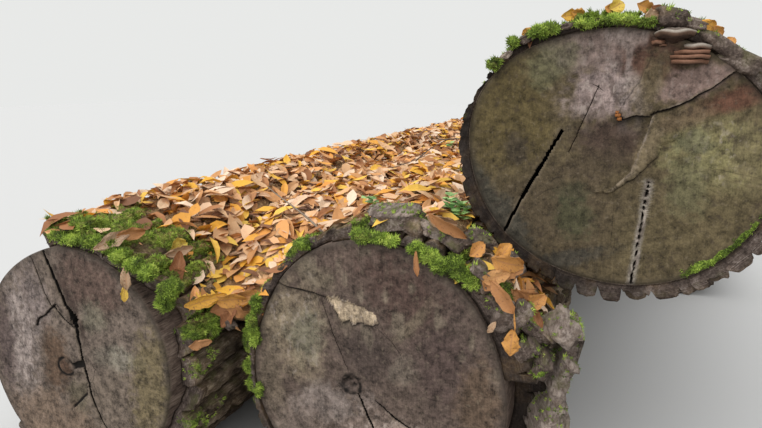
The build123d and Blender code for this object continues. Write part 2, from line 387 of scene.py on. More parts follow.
def all_cuts(cracks, points):
    """How deep the cracks are, their worn shoulders, and the line and width of the nearest one."""
    sunk, worn, width = np.zeros((3, len(points)))
    line, best = np.full(len(points), line_reach), np.full(len(points), 1.0)
    for crack in cracks:
        gap, half = crack.near(points)
        off = np.abs(gap)
        opened = fall(off, half * 0.7, half + 0.001)
        shoulder = fall(off, half, half + 0.012) * fade(half, 0.0005, 0.003)
        sunk = sunk + opened * crack.depth + shoulder * 0.0015
        worn = np.maximum(worn, shoulder * (1 - opened))
        nearer = off - half < best
        best = np.where(nearer, off - half, best)
        line = np.where(nearer, gap, line)
        width = np.where(nearer, half * (off < line_reach), width)
    return {"sunk": sunk, "worn": worn, "line": line, "line_width": width}


def mixed(shown, weight, colour):
    """The colours of points, mixed with another colour by a weight for each point."""
    return shown + weight[:, None] * (np.asarray(colour) - shown)


def stained(colour, points, patches, seed):
    """A face's colours: a patch is (x, z, half width, half height) in mm, tilt, colour x 1000, strength."""
    ragged = 0.45 * layered(on_face(points), 0.07, seed, 4) + 0.25 * noise(on_face(points), 0.012, seed + 9)
    shown = np.tile(np.array(colour, float), (len(points), 1))
    for x, z, half_width, half_height, tilt, *patch, strength in patches:
        local = turned(points - np.array((x, z)) * mm, -tilt) / (np.array((half_width, half_height)) * mm)
        reach = np.linalg.norm(local, axis=1) + ragged
        shown = mixed(shown, strength * fall(reach, 0.55, 1.35), np.array(patch) / 1000)
    return shown


# %% The grid of a face
face_rings, plain_rings = 74, 28
side_steps, back_rings = 7, 7
rim_share = 0.985
face_unevenness = 0.0012
rim_depth, rim_inset = 0.004, 0.004  # how far the edge is worn: in metres, and as a share of the radius
side_start, side_short = 0.02, 0.03
back_dish = 0.003


def disc_grid(rings):
    """A square grid laid round on a disc: angles in degrees, shares of the radius, quads and its rim."""
    side = np.linspace(-1, 1, 2 * rings + 1)
    u, v = [grid.ravel() for grid in np.meshgrid(side, side)]
    wide = np.abs(u) > np.abs(v)
    share = np.where(wide, u, v)
    with np.errstate(divide="ignore", invalid="ignore"):
        turn = np.where(wide, pi / 4 * v / u, pi / 2 - pi / 4 * u / v)
    turn = np.where(share == 0, 0, turn)
    angle = np.degrees(turn) + np.where(share < 0, 180, 0)
    row = len(side)
    return angle, np.abs(share), strips(row, row, closed=False), rim_of(row, row)


def build_wood(name, log, node, relief, cracks=(), lines=(), rings=face_rings):
    """A log's wood: a sawn face shaped and coloured by relief(), its side, and a plain back."""
    angle, share, faces, rim = disc_grid(rings)
    centre = log.wood.centre
    across = (wood_rim(log, angle) - centre) * share[:, None]
    for path in lines:
        across = np.where((share < rim_share)[:, None], drawn_in(across, path), across)
    marks = all_cuts(cracks, across)
    depth, dark, moss, tint = relief(across, share)
    # The mark named crack holds each face's painted shade (shadows under ledges, slabs and chips, and shade
    # in pockets and holes), together with the real dark of rot and knot rings.
    marks.update({"crack": dark, "edge": fade(share, 0.93, 1), "moss": moss})
    depth = depth + marks["sunk"] + rim_depth * fade(share, rim_share, 1)
    rounded = across * (1 - rim_inset * fade(share, 0.99, 1))[:, None]
    around, columns, count = across[rim], len(rim), len(angle)
    side_length = log.back - log.front - side_short
    lengths = log.front + side_start + side_length * np.linspace(0, 1, side_steps) ** 2
    sections = [in_frame(centre + rounded, log.front + depth)]
    sections += [in_frame(centre + around, y) for y in lengths]
    for i in range(back_rings):
        ring = 1 - i / back_rings
        dished = np.minimum(back_dish * noise(on_face(around) * ring, 0.15, 8), 0)
        sections.append(in_frame(centre + around * ring * 0.995, log.back + dished))
    sections.append(in_frame(centre[None], log.back))
    faces += [(rim[c], count + c, count + n, rim[n]) for c, n in neighbours(columns)]
    rows = side_steps + back_rings
    faces += strips(rows, columns, count, flip=True)
    last, rest = count + (rows - 1) * columns, rows * columns + 1
    faces += [(last + c, last + columns, last + n) for c, n in neighbours(columns)]
    marks = {key: np.pad(values, (0, rest)) for key, values in marks.items()}
    marks["sawn"] = np.repeat((1, 0, 1), (count, side_steps * columns, back_rings * columns + 1))
    tint = np.concatenate([tint, np.tile(tint.mean(0), (rest, 1))])
    piece = make_piece(name, np.concatenate(sections), faces, marks, {"tint": tint})
    return hand_over(piece, node)


# %% [markdown]
# ### The left log's face
# A long check runs from the top rim down past the heart, wide above and thin below, with a loose sliver
# of wood in its fork. Left of it a layer ends in a small ledge, and beside the heart sit a knot and a
# chipped hollow.

# %% The left log's wood
left_cracks = [
    Crack([(-92, 440), (-39, 314), (-8, 235), (27, 187)], (8, 11, 9, 18), 0.14),
    Crack([(27, 187), (34, 134), (46, 19), (70, -112), (99, -190), (140, -250), (170, -420)],
          (16, 8, 9, 6, 4, 4, 2), 0.14),
    Crack([(-150, 400), (-125, 327), (-92, 235), (-62, 200), (20, 150)], (2, 4, 4, 4, 2), 0.02),
    Crack([(66, 49), (99, 3), (84, -46), (110, -130)], (0, 2, 2, 0), 0.004),
    Crack([(97, -183), (92, -260), (70, -360)], (2, 2, 0), 0.006),
    Crack([(101, 23), (156, 27), (190, 20)], (0, 1, 0), 0.001),
]
left_ledge = [(-60, 236), (-87, 212), (-125, 180), (-158, 162), (-172, 131)]
left_hollow = [(-6, 4), (18, 20), (46, 26), (44, -2), (12, -12), (-4, -20)]
left_chip = [(-51, -79), (-20, -45), (33, -20), (52, -60), (51, -105), (5, -150), (-34, -185)]
left_patches = [
    (-250, 80, 90, 260, -8, 290, 235, 210, 0.95), (-350, 60, 60, 200, 0, 92, 64, 58, 0.85),
    (-160, 260, 70, 120, 20, 210, 165, 150, 0.8), (120, 330, 150, 110, -30, 116, 74, 58, 0.9),
    (-90, 10, 70, 130, 0, 96, 55, 32, 0.8), (119, 200, 60, 60, 20, 165, 148, 105, 0.7),
    (206, 61, 110, 45, 5, 235, 215, 165, 0.7), (130, 40, 60, 120, 0, 125, 95, 75, 0.6),
    (150, -150, 110, 160, -20, 165, 127, 96, 0.7), (345, -30, 80, 260, -6, 165, 128, 58, 0.7),
    (0, -130, 50, 60, 0, 125, 103, 68, 0.8), (-160, -250, 190, 110, 0, 186, 128, 90, 0.8),
    (-43, -12, 32, 28, 0, 110, 62, 40, 0.9), (20, 230, 24, 160, 22, 60, 38, 30, 0.8),
]


def left_relief(points, share):
    """Depth, darkness, moss and colours over the left log's face."""
    space, uneven = on_face(points), wavered(points)
    under = inside(uneven, left_ledge + [(-190, 50), (-160, -50), (-20, -50), (30, 130)])
    ledge_gap = along(uneven, left_ledge)[0]
    chip, chip_gap = inside(uneven, left_chip), along(uneven, left_chip[2:])[0]
    # A shallow pocket beside the knot, painted black as shade.
    shadow_pocket = inside(uneven, left_hollow)
    knot = np.linalg.norm((points - np.array((-0.043, -0.012))) / np.array((0.038, 0.034)), axis=1)
    ring = np.exp(-(((knot - 1) / 0.16) ** 2)) * (0.7 + 0.5 * noise(space, 0.02, 6))
    depth = face_unevenness * layered(space, 0.05, 4) + 0.009 * under * fall(ledge_gap, 0.004, 0.09)
    depth = depth + chip * (0.004 + 0.01 * fall(chip_gap, 0, 0.07))
    depth = depth + 0.005 * ring - 0.004 * fall(knot, 0, 0.9) + 0.012 * shadow_pocket
    shadow = most(under * fall(ledge_gap, 0.003, 0.01), chip * fall(chip_gap, 0.006, 0.016))
    moss = 0.5 * fade(share, 0.95, 1.0) * fade(points[:, 0], 0.1, 0.3) * fade(-points[:, 1], 0.12, 0.2)
    tint = stained((0.155, 0.118, 0.094), points, left_patches, 40)
    return depth, most(shadow_pocket, 0.95 * shadow, 1.1 * ring), moss, tint


left_lines = [crack.path for crack in left_cracks[:3]] + [left_ledge]
wood_left = build_wood("wood_left", left, "log_left", left_relief, left_cracks, left_lines)

# %% [markdown]
# ### The middle log's face
# The felling cut ran in two levels: its upper part stands proud over a ledge that fades out to the
# right, with torn pale wood hanging below it. The rotted heart is a rough pit, and checks run out of it.

# %% The middle log's wood
middle_cracks = [
    Crack([(-180, 270), (-135, 140), (-100, 60), (-85, 27)], (0.5, 1.8, 2, 1.2), 0.005),
    Crack([(-45, -48), (-20, -105), (8, -153), (40, -260), (55, -330)], (3, 5, 4, 2, 0.5), 0.04),
    Crack([(17, -58), (75, -95), (129, -125), (200, -160), (290, -215)], (0.5, 4, 3, 1.6, 0.5), 0.03),
    Crack([(18, 205), (78, 163), (108, 123), (120, 80)], (1, 1.6, 1.2, 0), 0.002),
    Crack([(110, 10), (210, -12), (330, -14)], (0, 1, 0), 0.001),
]
middle_ledge = [(-330, 312), (-308, 306), (-202, 295), (-162, 286), (-112, 280), (-27, 268), (26, 240),
                (50, 195), (78, 163), (108, 123)]
torn_patch = [(-160, 286), (-140, 262), (-121, 237), (-98, 204), (-76, 214), (-59, 200), (-30, 216),
              (3, 205), (32, 222), (26, 240), (-27, 270), (-112, 288)]
middle_patches = [
    (-290, 140, 120, 190, 15, 245, 192, 128, 0.95), (-245, 120, 70, 90, 0, 140, 138, 98, 0.6),
    (-380, -40, 50, 200, 5, 165, 128, 90, 0.7), (-60, 390, 240, 80, 0, 125, 86, 68, 0.8),
    (-200, 360, 90, 40, -30, 180, 145, 98, 0.7), (-20, 100, 110, 90, 0, 70, 50, 42, 0.9),
    (-90, 220, 40, 60, 0, 140, 110, 78, 0.7), (120, 330, 160, 120, -40, 90, 55, 44, 0.9),
    (130, 70, 50, 60, -30, 180, 145, 112, 0.7), (250, 120, 110, 160, -10, 85, 57, 49, 0.9),
    (365, 0, 70, 160, 0, 125, 82, 52, 0.7), (-160, -110, 140, 80, 10, 215, 172, 150, 0.85),
    (-250, -250, 160, 130, 0, 190, 145, 120, 0.6), (60, -240, 190, 120, 0, 356, 270, 225, 0.95),
    (150, 240, 22, 110, -38, 165, 128, 88, 0.7),
]


def middle_relief(points, share):
    """Depth, darkness, moss and colours over the middle log's face."""
    space, uneven, torn_place = on_face(points), wavered(points), wavered(points, 0.02, 0.006)
    below = inside(uneven, middle_ledge + [(108, -700), (-700, -700), (-700, 312)])
    gap, _, spot = along(uneven, middle_ledge)
    torn = inside(torn_place, torn_patch)
    torn_gap = along(torn_place, torn_patch[2:9])[0]
    tears = 0.5 + 0.5 * noise(space * np.array((1, 1, 0.25)), 0.008, 21)
    heart = np.linalg.norm(wavered(points, 0.012, 0.007) - np.array((-0.071, -0.018)), axis=1)
    pit = fall(heart, 0.012, 0.036)
    crumbs = layered(space, 0.012, 33, 2)
    rot = np.exp(-(((heart - 0.033) / 0.011) ** 2)) * (0.6 + 0.4 * crumbs)
    lowered = below * fall(points[:, 0], -0.15, 0.1) * 0.014
    depth = face_unevenness * layered(space, 0.06, 14) + lowered * (1 - 0.6 * torn) + torn * 0.003 * tears
    depth = depth + pit * (0.014 + 0.009 * crumbs)
    shadow = (1 - torn) * below * fall(gap, 0.005, 0.017) * fall(spot, 0.45, 0.95)
    shadow = most(shadow, 0.75 * (1 - torn) * below * fall(torn_gap, 0.002, 0.013))
    dark = most(0.9 * shadow, 1.2 * rot, 0.8 * pit * fade(crumbs, -0.3, 0.4))
    tint = stained((0.112, 0.08, 0.064), points, middle_patches, 50)
    fleck = fade(noise(space * np.array((1, 1, 0.55)), 0.028, 71), 0.35, 0.8)
    fleck = 0.55 * fleck * fade(points[:, 0] + points[:, 1], -0.15, 0.3) * fade(points[:, 1], 0.0, 0.2)
    tint = mixed(tint, fleck, (0.215, 0.175, 0.125))
    tint = mixed(tint, 0.9 * torn, np.array((0.56, 0.43, 0.29)) * (0.7 + 0.45 * tears)[:, None])
    return depth, dark, 0 * share, mixed(tint, pit * 0.6, (0.085, 0.062, 0.052))


middle_lines = [crack.path for crack in middle_cracks[:3]] + [middle_ledge]
wood_middle = build_wood("wood_middle", middle, "log_middle", middle_relief, middle_cracks, middle_lines)

# %% [markdown]
# ### The top log's face
# This is the one that shows best. A torn slab stands proud at its upper right and runs out in a curved
# tail, a straight black slit opens left of the heart, a row of small holes marks a healing check right
# of it, and rain has left pale mould above and olive algae all round.

# %% The top log's wood
top_cracks = [
    Crack([(-157, 84), (-248, -100), (-339, -289)], (4, 7, 5.5), 0.16),
    Crack([(-345, -295), (-362, -335)], (6, 9), 0.05),
    Crack([(-55, 225), (-92, 120), (-129, 19)], (1.2, 1.8, 1.0), 0.006),
    Crack([(-129, 19), (-108, -10), (-94, -59)], (0.8, 0.7, 0.3), 0.001),
    Crack([(-85, 232), (-55, 222), (-38, 205)], (0.5, 2.5, 0.5), 0.003),
    Crack([(230, -1), (310, -18), (404, -35)], (0.4, 1.0, 0.7), 0.001),
    Crack([(-255, -166), (-199, -114), (-136, -90), (-75, -79)], (0.4, 1.0, 0.8, 0.3), 0.001),
    Crack([(-360, 62), (-270, 60), (-180, 58)], (0, 0.7, 0.3), 0.001),
]
holes_path = [(112, -66), (104, -150), (96, -260), (86, -395)]
plate_line = [(10, 190), (40, 215), (66, 245)]
slab_outline = [(12, 154), (20, 125), (55, 136), (91, 133), (109, 148), (198, 186), (250, 221), (302, 270),
                (330, 300), (200, 420), (92, 400), (92, 327), (61, 228)]
tail_outline = [(102, 133), (89, 67), (71, 21), (51, -41), (8, -86), (-30, -101), (-48, -107), (-30, -109),
                (10, -98), (61, -58), (124, 8), (136, 52), (219, 97), (330, 130), (302, 258), (250, 213),
                (198, 180), (109, 142)]
top_patches = [
    (-330, 130, 150, 240, 10, 102, 76, 31, 0.95), (-160, -180, 220, 170, 0, 92, 68, 40, 0.9),
    (-40, 320, 170, 90, -8, 230, 168, 148, 0.9), (-30, 200, 130, 85, 10, 290, 220, 200, 0.95),
    (-200, 290, 90, 60, 30, 130, 122, 66, 0.7), (-5, 60, 120, 75, -5, 68, 44, 33, 0.95),
    (-50, -20, 120, 60, 10, 80, 58, 36, 0.7), (310, 20, 160, 140, 0, 232, 202, 92, 0.95),
    (230, -190, 220, 130, 20, 118, 90, 46, 0.9), (320, 185, 120, 34, 20, 126, 56, 36, 0.9),
    (190, 130, 90, 30, 20, 150, 105, 62, 0.8), (214, -61, 60, 100, 0, 130, 120, 62, 0.7),
    (230, 60, 50, 40, 0, 120, 118, 70, 0.6), (-98, -201, 60, 70, 0, 64, 70, 34, 0.6),
    (-110, -110, 50, 40, 0, 64, 68, 36, 0.5), (-300, 20, 40, 60, 0, 55, 42, 28, 0.8),
    (-345, -170, 42, 190, 38, 60, 56, 44, 0.8), (-150, -345, 160, 30, 18, 55, 50, 40, 0.8),
    (90, 300, 80, 80, 0, 86, 42, 27, 0.95), (200, 235, 110, 42, 20, 235, 160, 135, 0.95),
    (60, 190, 30, 60, 20, 215, 165, 120, 0.8), (95, 40, 26, 90, -12, 165, 125, 72, 0.9),
    (90, 240, 34, 90, -12, 120, 90, 50, 0.9), (400, 60, 60, 160, 0, 130, 98, 55, 0.5),
]


def top_relief(points, share):
    """Depth, darkness, moss and colours over the top log's face."""
    space, uneven = on_face(points), wavered(points, 0.05, 0.005)
    slab, tail = inside(uneven, slab_outline), inside(uneven, tail_outline)
    lower = along(uneven, slab_outline[1:9])[0]
    left_edge = along(uneven, slab_outline[-2:] + slab_outline[:1])[0]
    tail_edge, _, tail_spot = along(uneven, tail_outline[7:13])
    bright_edge = along(uneven, tail_outline[:5])[0]
    raised = tail * fall(points[:, 0], 0.1, 0.24)
    level = 0.02 - 0.02 * slab - 0.011 * raised * (1 - slab)
    level = level - 0.012 * (1 - slab) * (1 - raised) * fall(left_edge, 0.02, 0.12)
    gap = along(wavered(points), holes_path)[0]
    knots = np.abs(np.sin(along(points, holes_path)[2] * 44 + 2.4 * noise(space, 0.03, 61)))
    holes = fall(gap, 0.0014, 0.004) * fade(knots, 0.45, 0.75)
    healed = fall(gap, 0.006, 0.016)
    depth = face_unevenness * layered(space, 0.06, 24) + level + 0.002 * slab * layered(space, 0.06, 27)
    depth = depth + 0.02 * holes - 0.003 * healed * (1 - holes)
    plate_shade = 0.55 * (1 - slab) * fall(left_edge, 0.001, 0.009)
    faint = 0.6 * fall(tail_spot, 0.55, 0.95) * fade(tail_spot, 0.0, 0.15)
    tail_shade = faint * (1 - tail) * (1 - slab) * fall(tail_edge, 0.001, 0.008)
    # Painted shade just below the slab's lower edge, where its step throws a shadow; the face isn't lowered
    # there.
    shadow_pocket = (1 - slab) * (1 - tail) * fall(lower, 0.0, 0.045) * fall(points[:, 0], 0.06, 0.14)
    shadow = most((1 - slab) * fall(lower, 0.001, 0.01), tail_shade, 0.75 * shadow_pocket)
    tint = stained((0.104, 0.078, 0.042), points, top_patches, 60)
    streak = fade(noise(space * np.array((1, 1, 0.3)), 0.022, 75), 0.1, 0.7)
    mould = streak * fade(points[:, 1], 0.06, 0.16) * fall(np.abs(points[:, 0] + 0.03), 0.08, 0.19)
    tint = mixed(tint, 0.6 * mould * (1 - 0.7 * slab), (0.3, 0.24, 0.215))
    tint = mixed(tint, 0.75 * healed, (0.34, 0.3, 0.25))
    lit = tail * fall(bright_edge, 0.001, 0.009) + slab * fall(lower, 0.001, 0.006) * 0.6
    plate = fall(np.abs(along(points, plate_line)[0] - 0.001), 0.0, 0.003)
    tint = mixed(tint, 0.75 * np.minimum(lit + 0.5 * plate, 1), (0.3, 0.235, 0.165))
    turn = np.degrees(np.arctan2(points[:, 1], points[:, 0]))
    moss = fade(turn, -62, -48) * fall(turn, -28, -16)
    moss = moss * fade(share + 0.03 * noise(space, 0.03, 77), 0.93, 0.975)
    return depth, most(plate_shade, 0.9 * shadow, holes), moss, tint


top_lines = [crack.path for crack in top_cracks[:3]] + [slab_outline[1:9], tail_outline[:11], holes_path]
wood_top = build_wood("wood_top", top, "log_top", top_relief, top_cracks, top_lines)


# %% The bearer's wood
def plain_relief(points, share):
    """The bearer's hidden end has only fine unevenness and a small pit at its heart."""
    heart = fall(np.linalg.norm(points, axis=1), 0.01, 0.03)
    depth = np.maximum(0.001 * layered(on_face(points), 0.06, 44) + 0.012 * heart, 0)
    return depth, 0.6 * heart, 0 * share, stained((0.11, 0.085, 0.068), points, [], 70)


wood_bearer = build_wood("wood_bearer", bearer, "log_bearer", plain_relief, rings=plain_rings)

# %% [markdown]
# ## Bark
# Old bark stands in long ridges with deep furrows between them. The ridges don't run through: they are
# broken across into blocks, of which each stands a little higher or lower than its neighbours, and
# their broken ends show layers. The bark is a ring of points for each place along the log, close
# together near the sawn end and further apart behind. Every ridge has the place and the swing that it
# has in the solid, and the blocks, cracks and crumbs are added to its height.

# %% Bark ridges
ridge_shares = np.array((0.0, 0.05, 0.13, 0.24, 0.38, 0.52, 0.66, 0.79, 0.89, 0.96))
ridge_profile = ((0, 0.04, 0.1, 0.2, 0.5, 0.82, 0.92, 0.97, 1.0),
                 (0.3, 0.42, 0.74, 0.93, 1.0, 0.95, 0.8, 0.45, 0.3))
station_growth = 2.6
girth_per_degree = 0.009
bark_layers = 6
rise_limits = (0.1, 1.03)
crumb_height, moss_height = 0.005, 0.022


def ridges_of(log):
    """For each ridge: where its furrow starts in degrees, its height, and the phase of its swing."""
    count = round(pi * log.bark.half.sum() / log.pitch)
    draw = Random(log.seed)
    weights = [draw.uniform(0.72, 1.3) for _ in range(count)]
    rows, start = [], 0.0
    for weight in weights:
        rows.append((start, draw.uniform(0.9, 1.0), draw.uniform(0, 2 * pi)))
        start += 360 * weight / sum(weights)
    return np.array(rows)


def pressed(log, across):
    """Points of a section pushed back where the log is pressed flat on something."""
    for point, normal in log.seats:
        over = np.maximum((across - point) @ normal, 0)
        across = across - over[..., None] * normal
    return across


def zone_of(turn, start, end, soft):
    """1 between two angles, 0 outside them, with soft borders."""
    return fade(turn, start - soft, start + soft) * fall(turn, end - soft, end + soft)


# %% The heights over a log's bark
def bark_field(log, stations, blocks, moss_zones, filled):
    """Outer points of a log's bark for each station and ring place, and the values its finish reads.

    Blocks are (shortest, longest, depth of the cracks between them). A moss zone is (start angle, end
    angle, first y, last y, strength), with y from the sawn face. Filled are (start angle, end angle,
    share) of a side where crumbs have filled the furrows."""
    ridges = ridges_of(log)
    count, per = len(ridges), len(ridge_shares)
    draw = np.random.default_rng(log.seed)
    shortest, longest, crack_depth = blocks
    spans = draw.uniform(shortest, longest, count)
    offsets = draw.uniform(0, 7, count)
    slants = draw.uniform(-0.5, 0.5, count)
    along_log = stations[:, None]
    y = along_log + np.zeros(count * per)
    owner = np.repeat(np.arange(count), per)
    share = np.tile(ridge_shares, count)
    swing = ridges[:, 0] + ridge_swing * np.sin(2 * pi * along_log / ridge_wave + ridges[:, 2])
    drift = xyz(np.arange(count) * 0.37, along_log, 0)
    furrows = swing + 1.1 * noise(drift, 0.3, log.seed) + 0.7 * noise(drift, 0.09, log.seed + 1)
    furrows = np.concatenate([furrows, furrows[:, :1] + 360], 1)
    near, after = furrows[:, owner], furrows[:, owner + 1]
    angle = near + (after - near) * share
    base = log.wood.point(angle)
    thick = log.bark.point(angle) - base
    out = thick / np.linalg.norm(thick, axis=-1)[..., None]
    girth = angle * girth_per_degree
    space = xyz(girth, y, 0)
    along_ridge = y / spans[owner] + offsets[owner] + slants[owner] * (share - 0.5)
    along_ridge = along_ridge + 0.25 * noise(space, 0.07, 51)
    block = np.floor(along_ridge)
    part = along_ridge - block
    pick = block.astype(np.int64) * 7919 + owner * 104729
    chance = np.random.default_rng(log.seed + 9).uniform(0, 1, table_size)
    raised, gaping, tipped = [chance[(pick + salt) % table_size] for salt in (0, 1777, 911)]
    to_crack = np.minimum(part, 1 - part) * spans[owner]
    crack = fall(to_crack, 0.003, 0.016) * fade(gaping, 0.15, 0.6)
    rise = np.interp(share, *ridge_profile) * ridges[owner, 1]
    crest = fade(rise, 0.35, 0.9)
    split = np.abs(noise(xyz(girth, y / 7, 0), 0.026, log.seed + 11))
    split = fall(split, 0.0, 0.16) * crest
    rise = rise + crest * (0.08 - 0.26 * raised**1.5) - crack_depth * crack * crest - 0.2 * split
    rise = rise + crest * 0.3 * (part - 0.5) * (tipped - 0.5)
    rise = rise + 0.16 * layered(space, 0.05, log.seed + 2, 4)
    turn = (angle + log.wood.tilt) % 360
    for start, end, amount in filled:
        zone = amount * zone_of(turn, start, end, 10)
        level = 0.62 + 0.22 * noise(space, 0.11, log.seed + 14)
        rise = rise + zone * (level - rise) * (rise < level)
        rise = rise - zone * 0.35 * fade(rise, 0.75, 1.0)
    layers = rise * bark_layers + 0.8 * noise(space, 0.05, log.seed + 3)
    stepped = np.floor(layers) + fade(layers - np.floor(layers), 0.2, 0.8)
    rise = np.clip(0.6 * rise + 0.4 * stepped / bark_layers, *rise_limits)
    crumbs = crumb_height * layered(space, 0.028, log.seed + 5, 3)
    across = base + thick * rise[..., None] + crumbs[..., None] * out
    moss = np.zeros_like(y)
    behind = y - log.front + 0.06 * noise(space, 0.08, log.seed + 12)
    for start, end, first, last, strength in moss_zones:
        zone = zone_of(turn, start, end, 4) * fade(behind, first - 0.05, first)
        moss = np.maximum(moss, strength * zone * fall(behind, last * 0.7, last))
    clumps = fade(layered(space, 0.07, log.seed + 30, 2), -0.35, 0.25)
    moss = moss * clumps * fade(rise, 0.45, 0.8)
    across = across + (moss_height * moss * np.sqrt(clumps))[..., None] * out
    marks = {"rise": rise, "block": raised, "crack": most(crack * crest, 0.8 * split), "moss": moss}
    return pressed(log, across), wood_rim(log, angle, seat_gap), angle, marks


# %% The broken front end
def front_edge(log, angle, setback, torn, loose):
    """How far the bark's front end stands back at each angle: each ridge has broken off on its own.

    Torn are (start angle, end angle, least, most); loose is (start angle, end angle, how far back)."""
    ring = xyz(np.cos(np.radians(angle)), np.sin(np.radians(angle)), 0)
    back = setback + 0.008 * noise(ring, 0.25, log.seed + 6) + 0.006 * noise(ring, 0.05, log.seed + 7)
    per = len(ridge_shares)
    broken = np.random.default_rng(log.seed + 13).uniform(0, 1, len(angle) // per) ** 2
    turn = (angle + log.wood.tilt + 180) % 360 - 180
    for start, end, least, furthest in torn:
        back = back + zone_of(turn, start, end, 8) * (least + (furthest - least) * np.repeat(broken, per))
    if loose:
        start, end, far = loose
        back = back + far * zone_of(turn, start, end, 4)
    return np.maximum(back, 0.002)


# %% The closed shell
def build_bark(name, log, setback, stations, blocks, torn=(), moss=(), filled=(), bare=None,
               loose=None, end_rings=5, wet=None):
    """A log's bark as one closed shell: its ridged outside, broken front, bore and back.

    Bare is the span of angles that has lost its bark, and the last argument is the span whose front end is
    painted near black as shade."""
    growth = (np.exp(station_growth * np.linspace(0, 1, stations)) - 1) / (np.exp(station_growth) - 1)
    y = log.front + setback + (log.back - log.front - setback) * growth
    outer, inner, angle, marks = bark_field(log, y, blocks, moss, filled)
    marks["wet"] = 0 * angle
    if wet:
        # The span of the front end that is painted dark as shade.
        turn = (angle + log.wood.tilt - wet[0] + 30) % 360
        darkened = zone_of(turn, 30, wet[1] - wet[0] + 30, 12)
        marks["wet"] = darkened * fall(growth[:, None], 0.02, 0.06)
    edge = front_edge(log, angle[0], setback, torn, loose) - setback
    y = y[:, None] + edge[None] * (1 - growth[:, None]) ** 3
    if bare:
        spokes = outer[0] - log.wood.centre
        turn = np.degrees(np.arctan2(spokes[:, 1], spokes[:, 0])) % 360
        kept = np.where((turn < bare[0]) | (turn > bare[1]))[0]
        kept = np.roll(kept, -1 - np.where(np.diff(kept) > 1)[0][0])
        outer, inner, angle, y = outer[:, kept], inner[:, kept], angle[:, kept], y[:, kept]
        marks = {key: values[:, kept] for key, values in marks.items()}
    closed = bare is None
    columns = outer.shape[1]
    share = np.arange(1, end_rings + 1)[:, None] / (end_rings + 1)
    front = outer[0] + (inner[0] - outer[0]) * share[..., None]
    broken = 0.006 * layered(on_face(front), 0.03, log.seed + 8)
    front_marks = {key: values[:1] * (1 - share) for key, values in marks.items()}
    front_marks["wet"] = marks["wet"][:1] + 0 * share
    bore = np.array([inner[0], inner[0], inner[-1]])
    bore_marks = {key: np.zeros((3, columns)) for key in marks}
    grids = [(outer, y, marks), (front, y[:1] + broken + 0.004 * share, front_marks),
             (bore, np.array([y[0] + 0.006, y[0] + 0.05, y[-1]]), bore_marks)]
    points = np.concatenate([in_frame(across, place).reshape(-1, 3) for across, place, _ in grids])
    values = {key: np.concatenate([part[key].ravel() for _, _, part in grids]) for key in marks}
    values["broken"] = np.repeat((0, 1, 0), (stations * columns, end_rings * columns, 3 * columns))
    faces = strips(stations, columns, 0, closed, flip=True)
    joined = neighbours(columns, closed)
    front_rows = [0] + [(stations + i) * columns for i in range(end_rings + 1)]
    for upper, lower in zip(front_rows, front_rows[1:]):
        faces += [(upper + c, upper + n, lower + n, lower + c) for c, n in joined]
    faces += strips(3, columns, front_rows[-1], closed)
    back_outer, back_inner = (stations - 1) * columns, front_rows[-1] + 2 * columns
    faces += [(back_outer + n, back_outer + c, back_inner + c, back_inner + n) for c, n in joined]
    if not closed:
        for c, turn_round in ((0, False), (columns - 1, True)):
            rim = [row * columns + c for row in range(stations)]
            bottom = [front_rows[-1] + row * columns + c for row in (2, 1, 0)]
            side = rim + bottom + [first + c for first in front_rows[-2:0:-1]]
            faces.append(tuple(side if turn_round else side[::-1]))
    return hand_over(make_piece("ridged_" + name, points, faces, values), name)


# %% The barks of the four logs
left_moss = [(40, 112, -0.1, 0.42, 1.0), (8, 40, -0.1, 0.2, 0.9), (-30, 8, -0.1, 0.1, 0.5),
             (330, 345, -0.1, 0.2, 0.6)]
middle_moss = [(83, 103, -0.1, 0.07, 1.0), (34, 60, -0.1, 0.06, 1.0), (118, 132, -0.1, 0.06, 0.8),
               (146, 192, -0.1, 0.1, 1.0), (196, 206, -0.1, 0.1, 0.8), (322, 336, 0.1, 0.4, 0.7)]
top_moss = [(71, 108, -0.1, 0.1, 1.0), (113, 123, -0.1, 0.12, 1.0), (127, 134, -0.1, 0.1, 0.9),
            (141, 149, -0.1, 0.1, 1.0), (50, 62, -0.1, 0.12, 0.5)]
left_torn = [(-180, 55, 0.028, 0.06), (-12, 44, 0.025, 0.05), (98, 130, 0.06, 0.07)]
middle_torn = [(35, 125, 0.0, 0.035), (125, 180, 0.0, 0.02)]
top_torn = [(30, 160, 0.0, 0.03), (-120, -30, 0.0, 0.02)]
bark_left = build_bark("bark_left", left, 0.004, 135, (0.25, 0.6, 0.25), left_torn, left_moss,
                       bare=(112, 208))
bark_middle = build_bark("bark_middle", middle, 0.004, 130, (0.1, 0.24, 0.42), middle_torn, middle_moss,
                         filled=[(100, 215, 0.5)], loose=(-62, 8, 0.138), wet=(-50, 27))
bark_top = build_bark("bark_top", top, 0.006, 112, (0.12, 0.3, 0.32), top_torn, top_moss,
                      filled=[(20, 250, 0.75), (285, 330, 0.4)], wet=(105, 262))
bark_bearer = build_bark("bark_bearer", bearer, 0.002, 40, (0.2, 0.5, 0.3), end_rings=3)

# %% [markdown]
# ## Writing shader maths as plain expressions
# A material is a tree of small nodes. Drawn by hand it is easy to read, but in a script the links bury
# the idea. So one small class stands for a socket and turns Python's own operators into Math nodes,
# and one method makes any other node. The same class serves the Geometry Nodes further down.

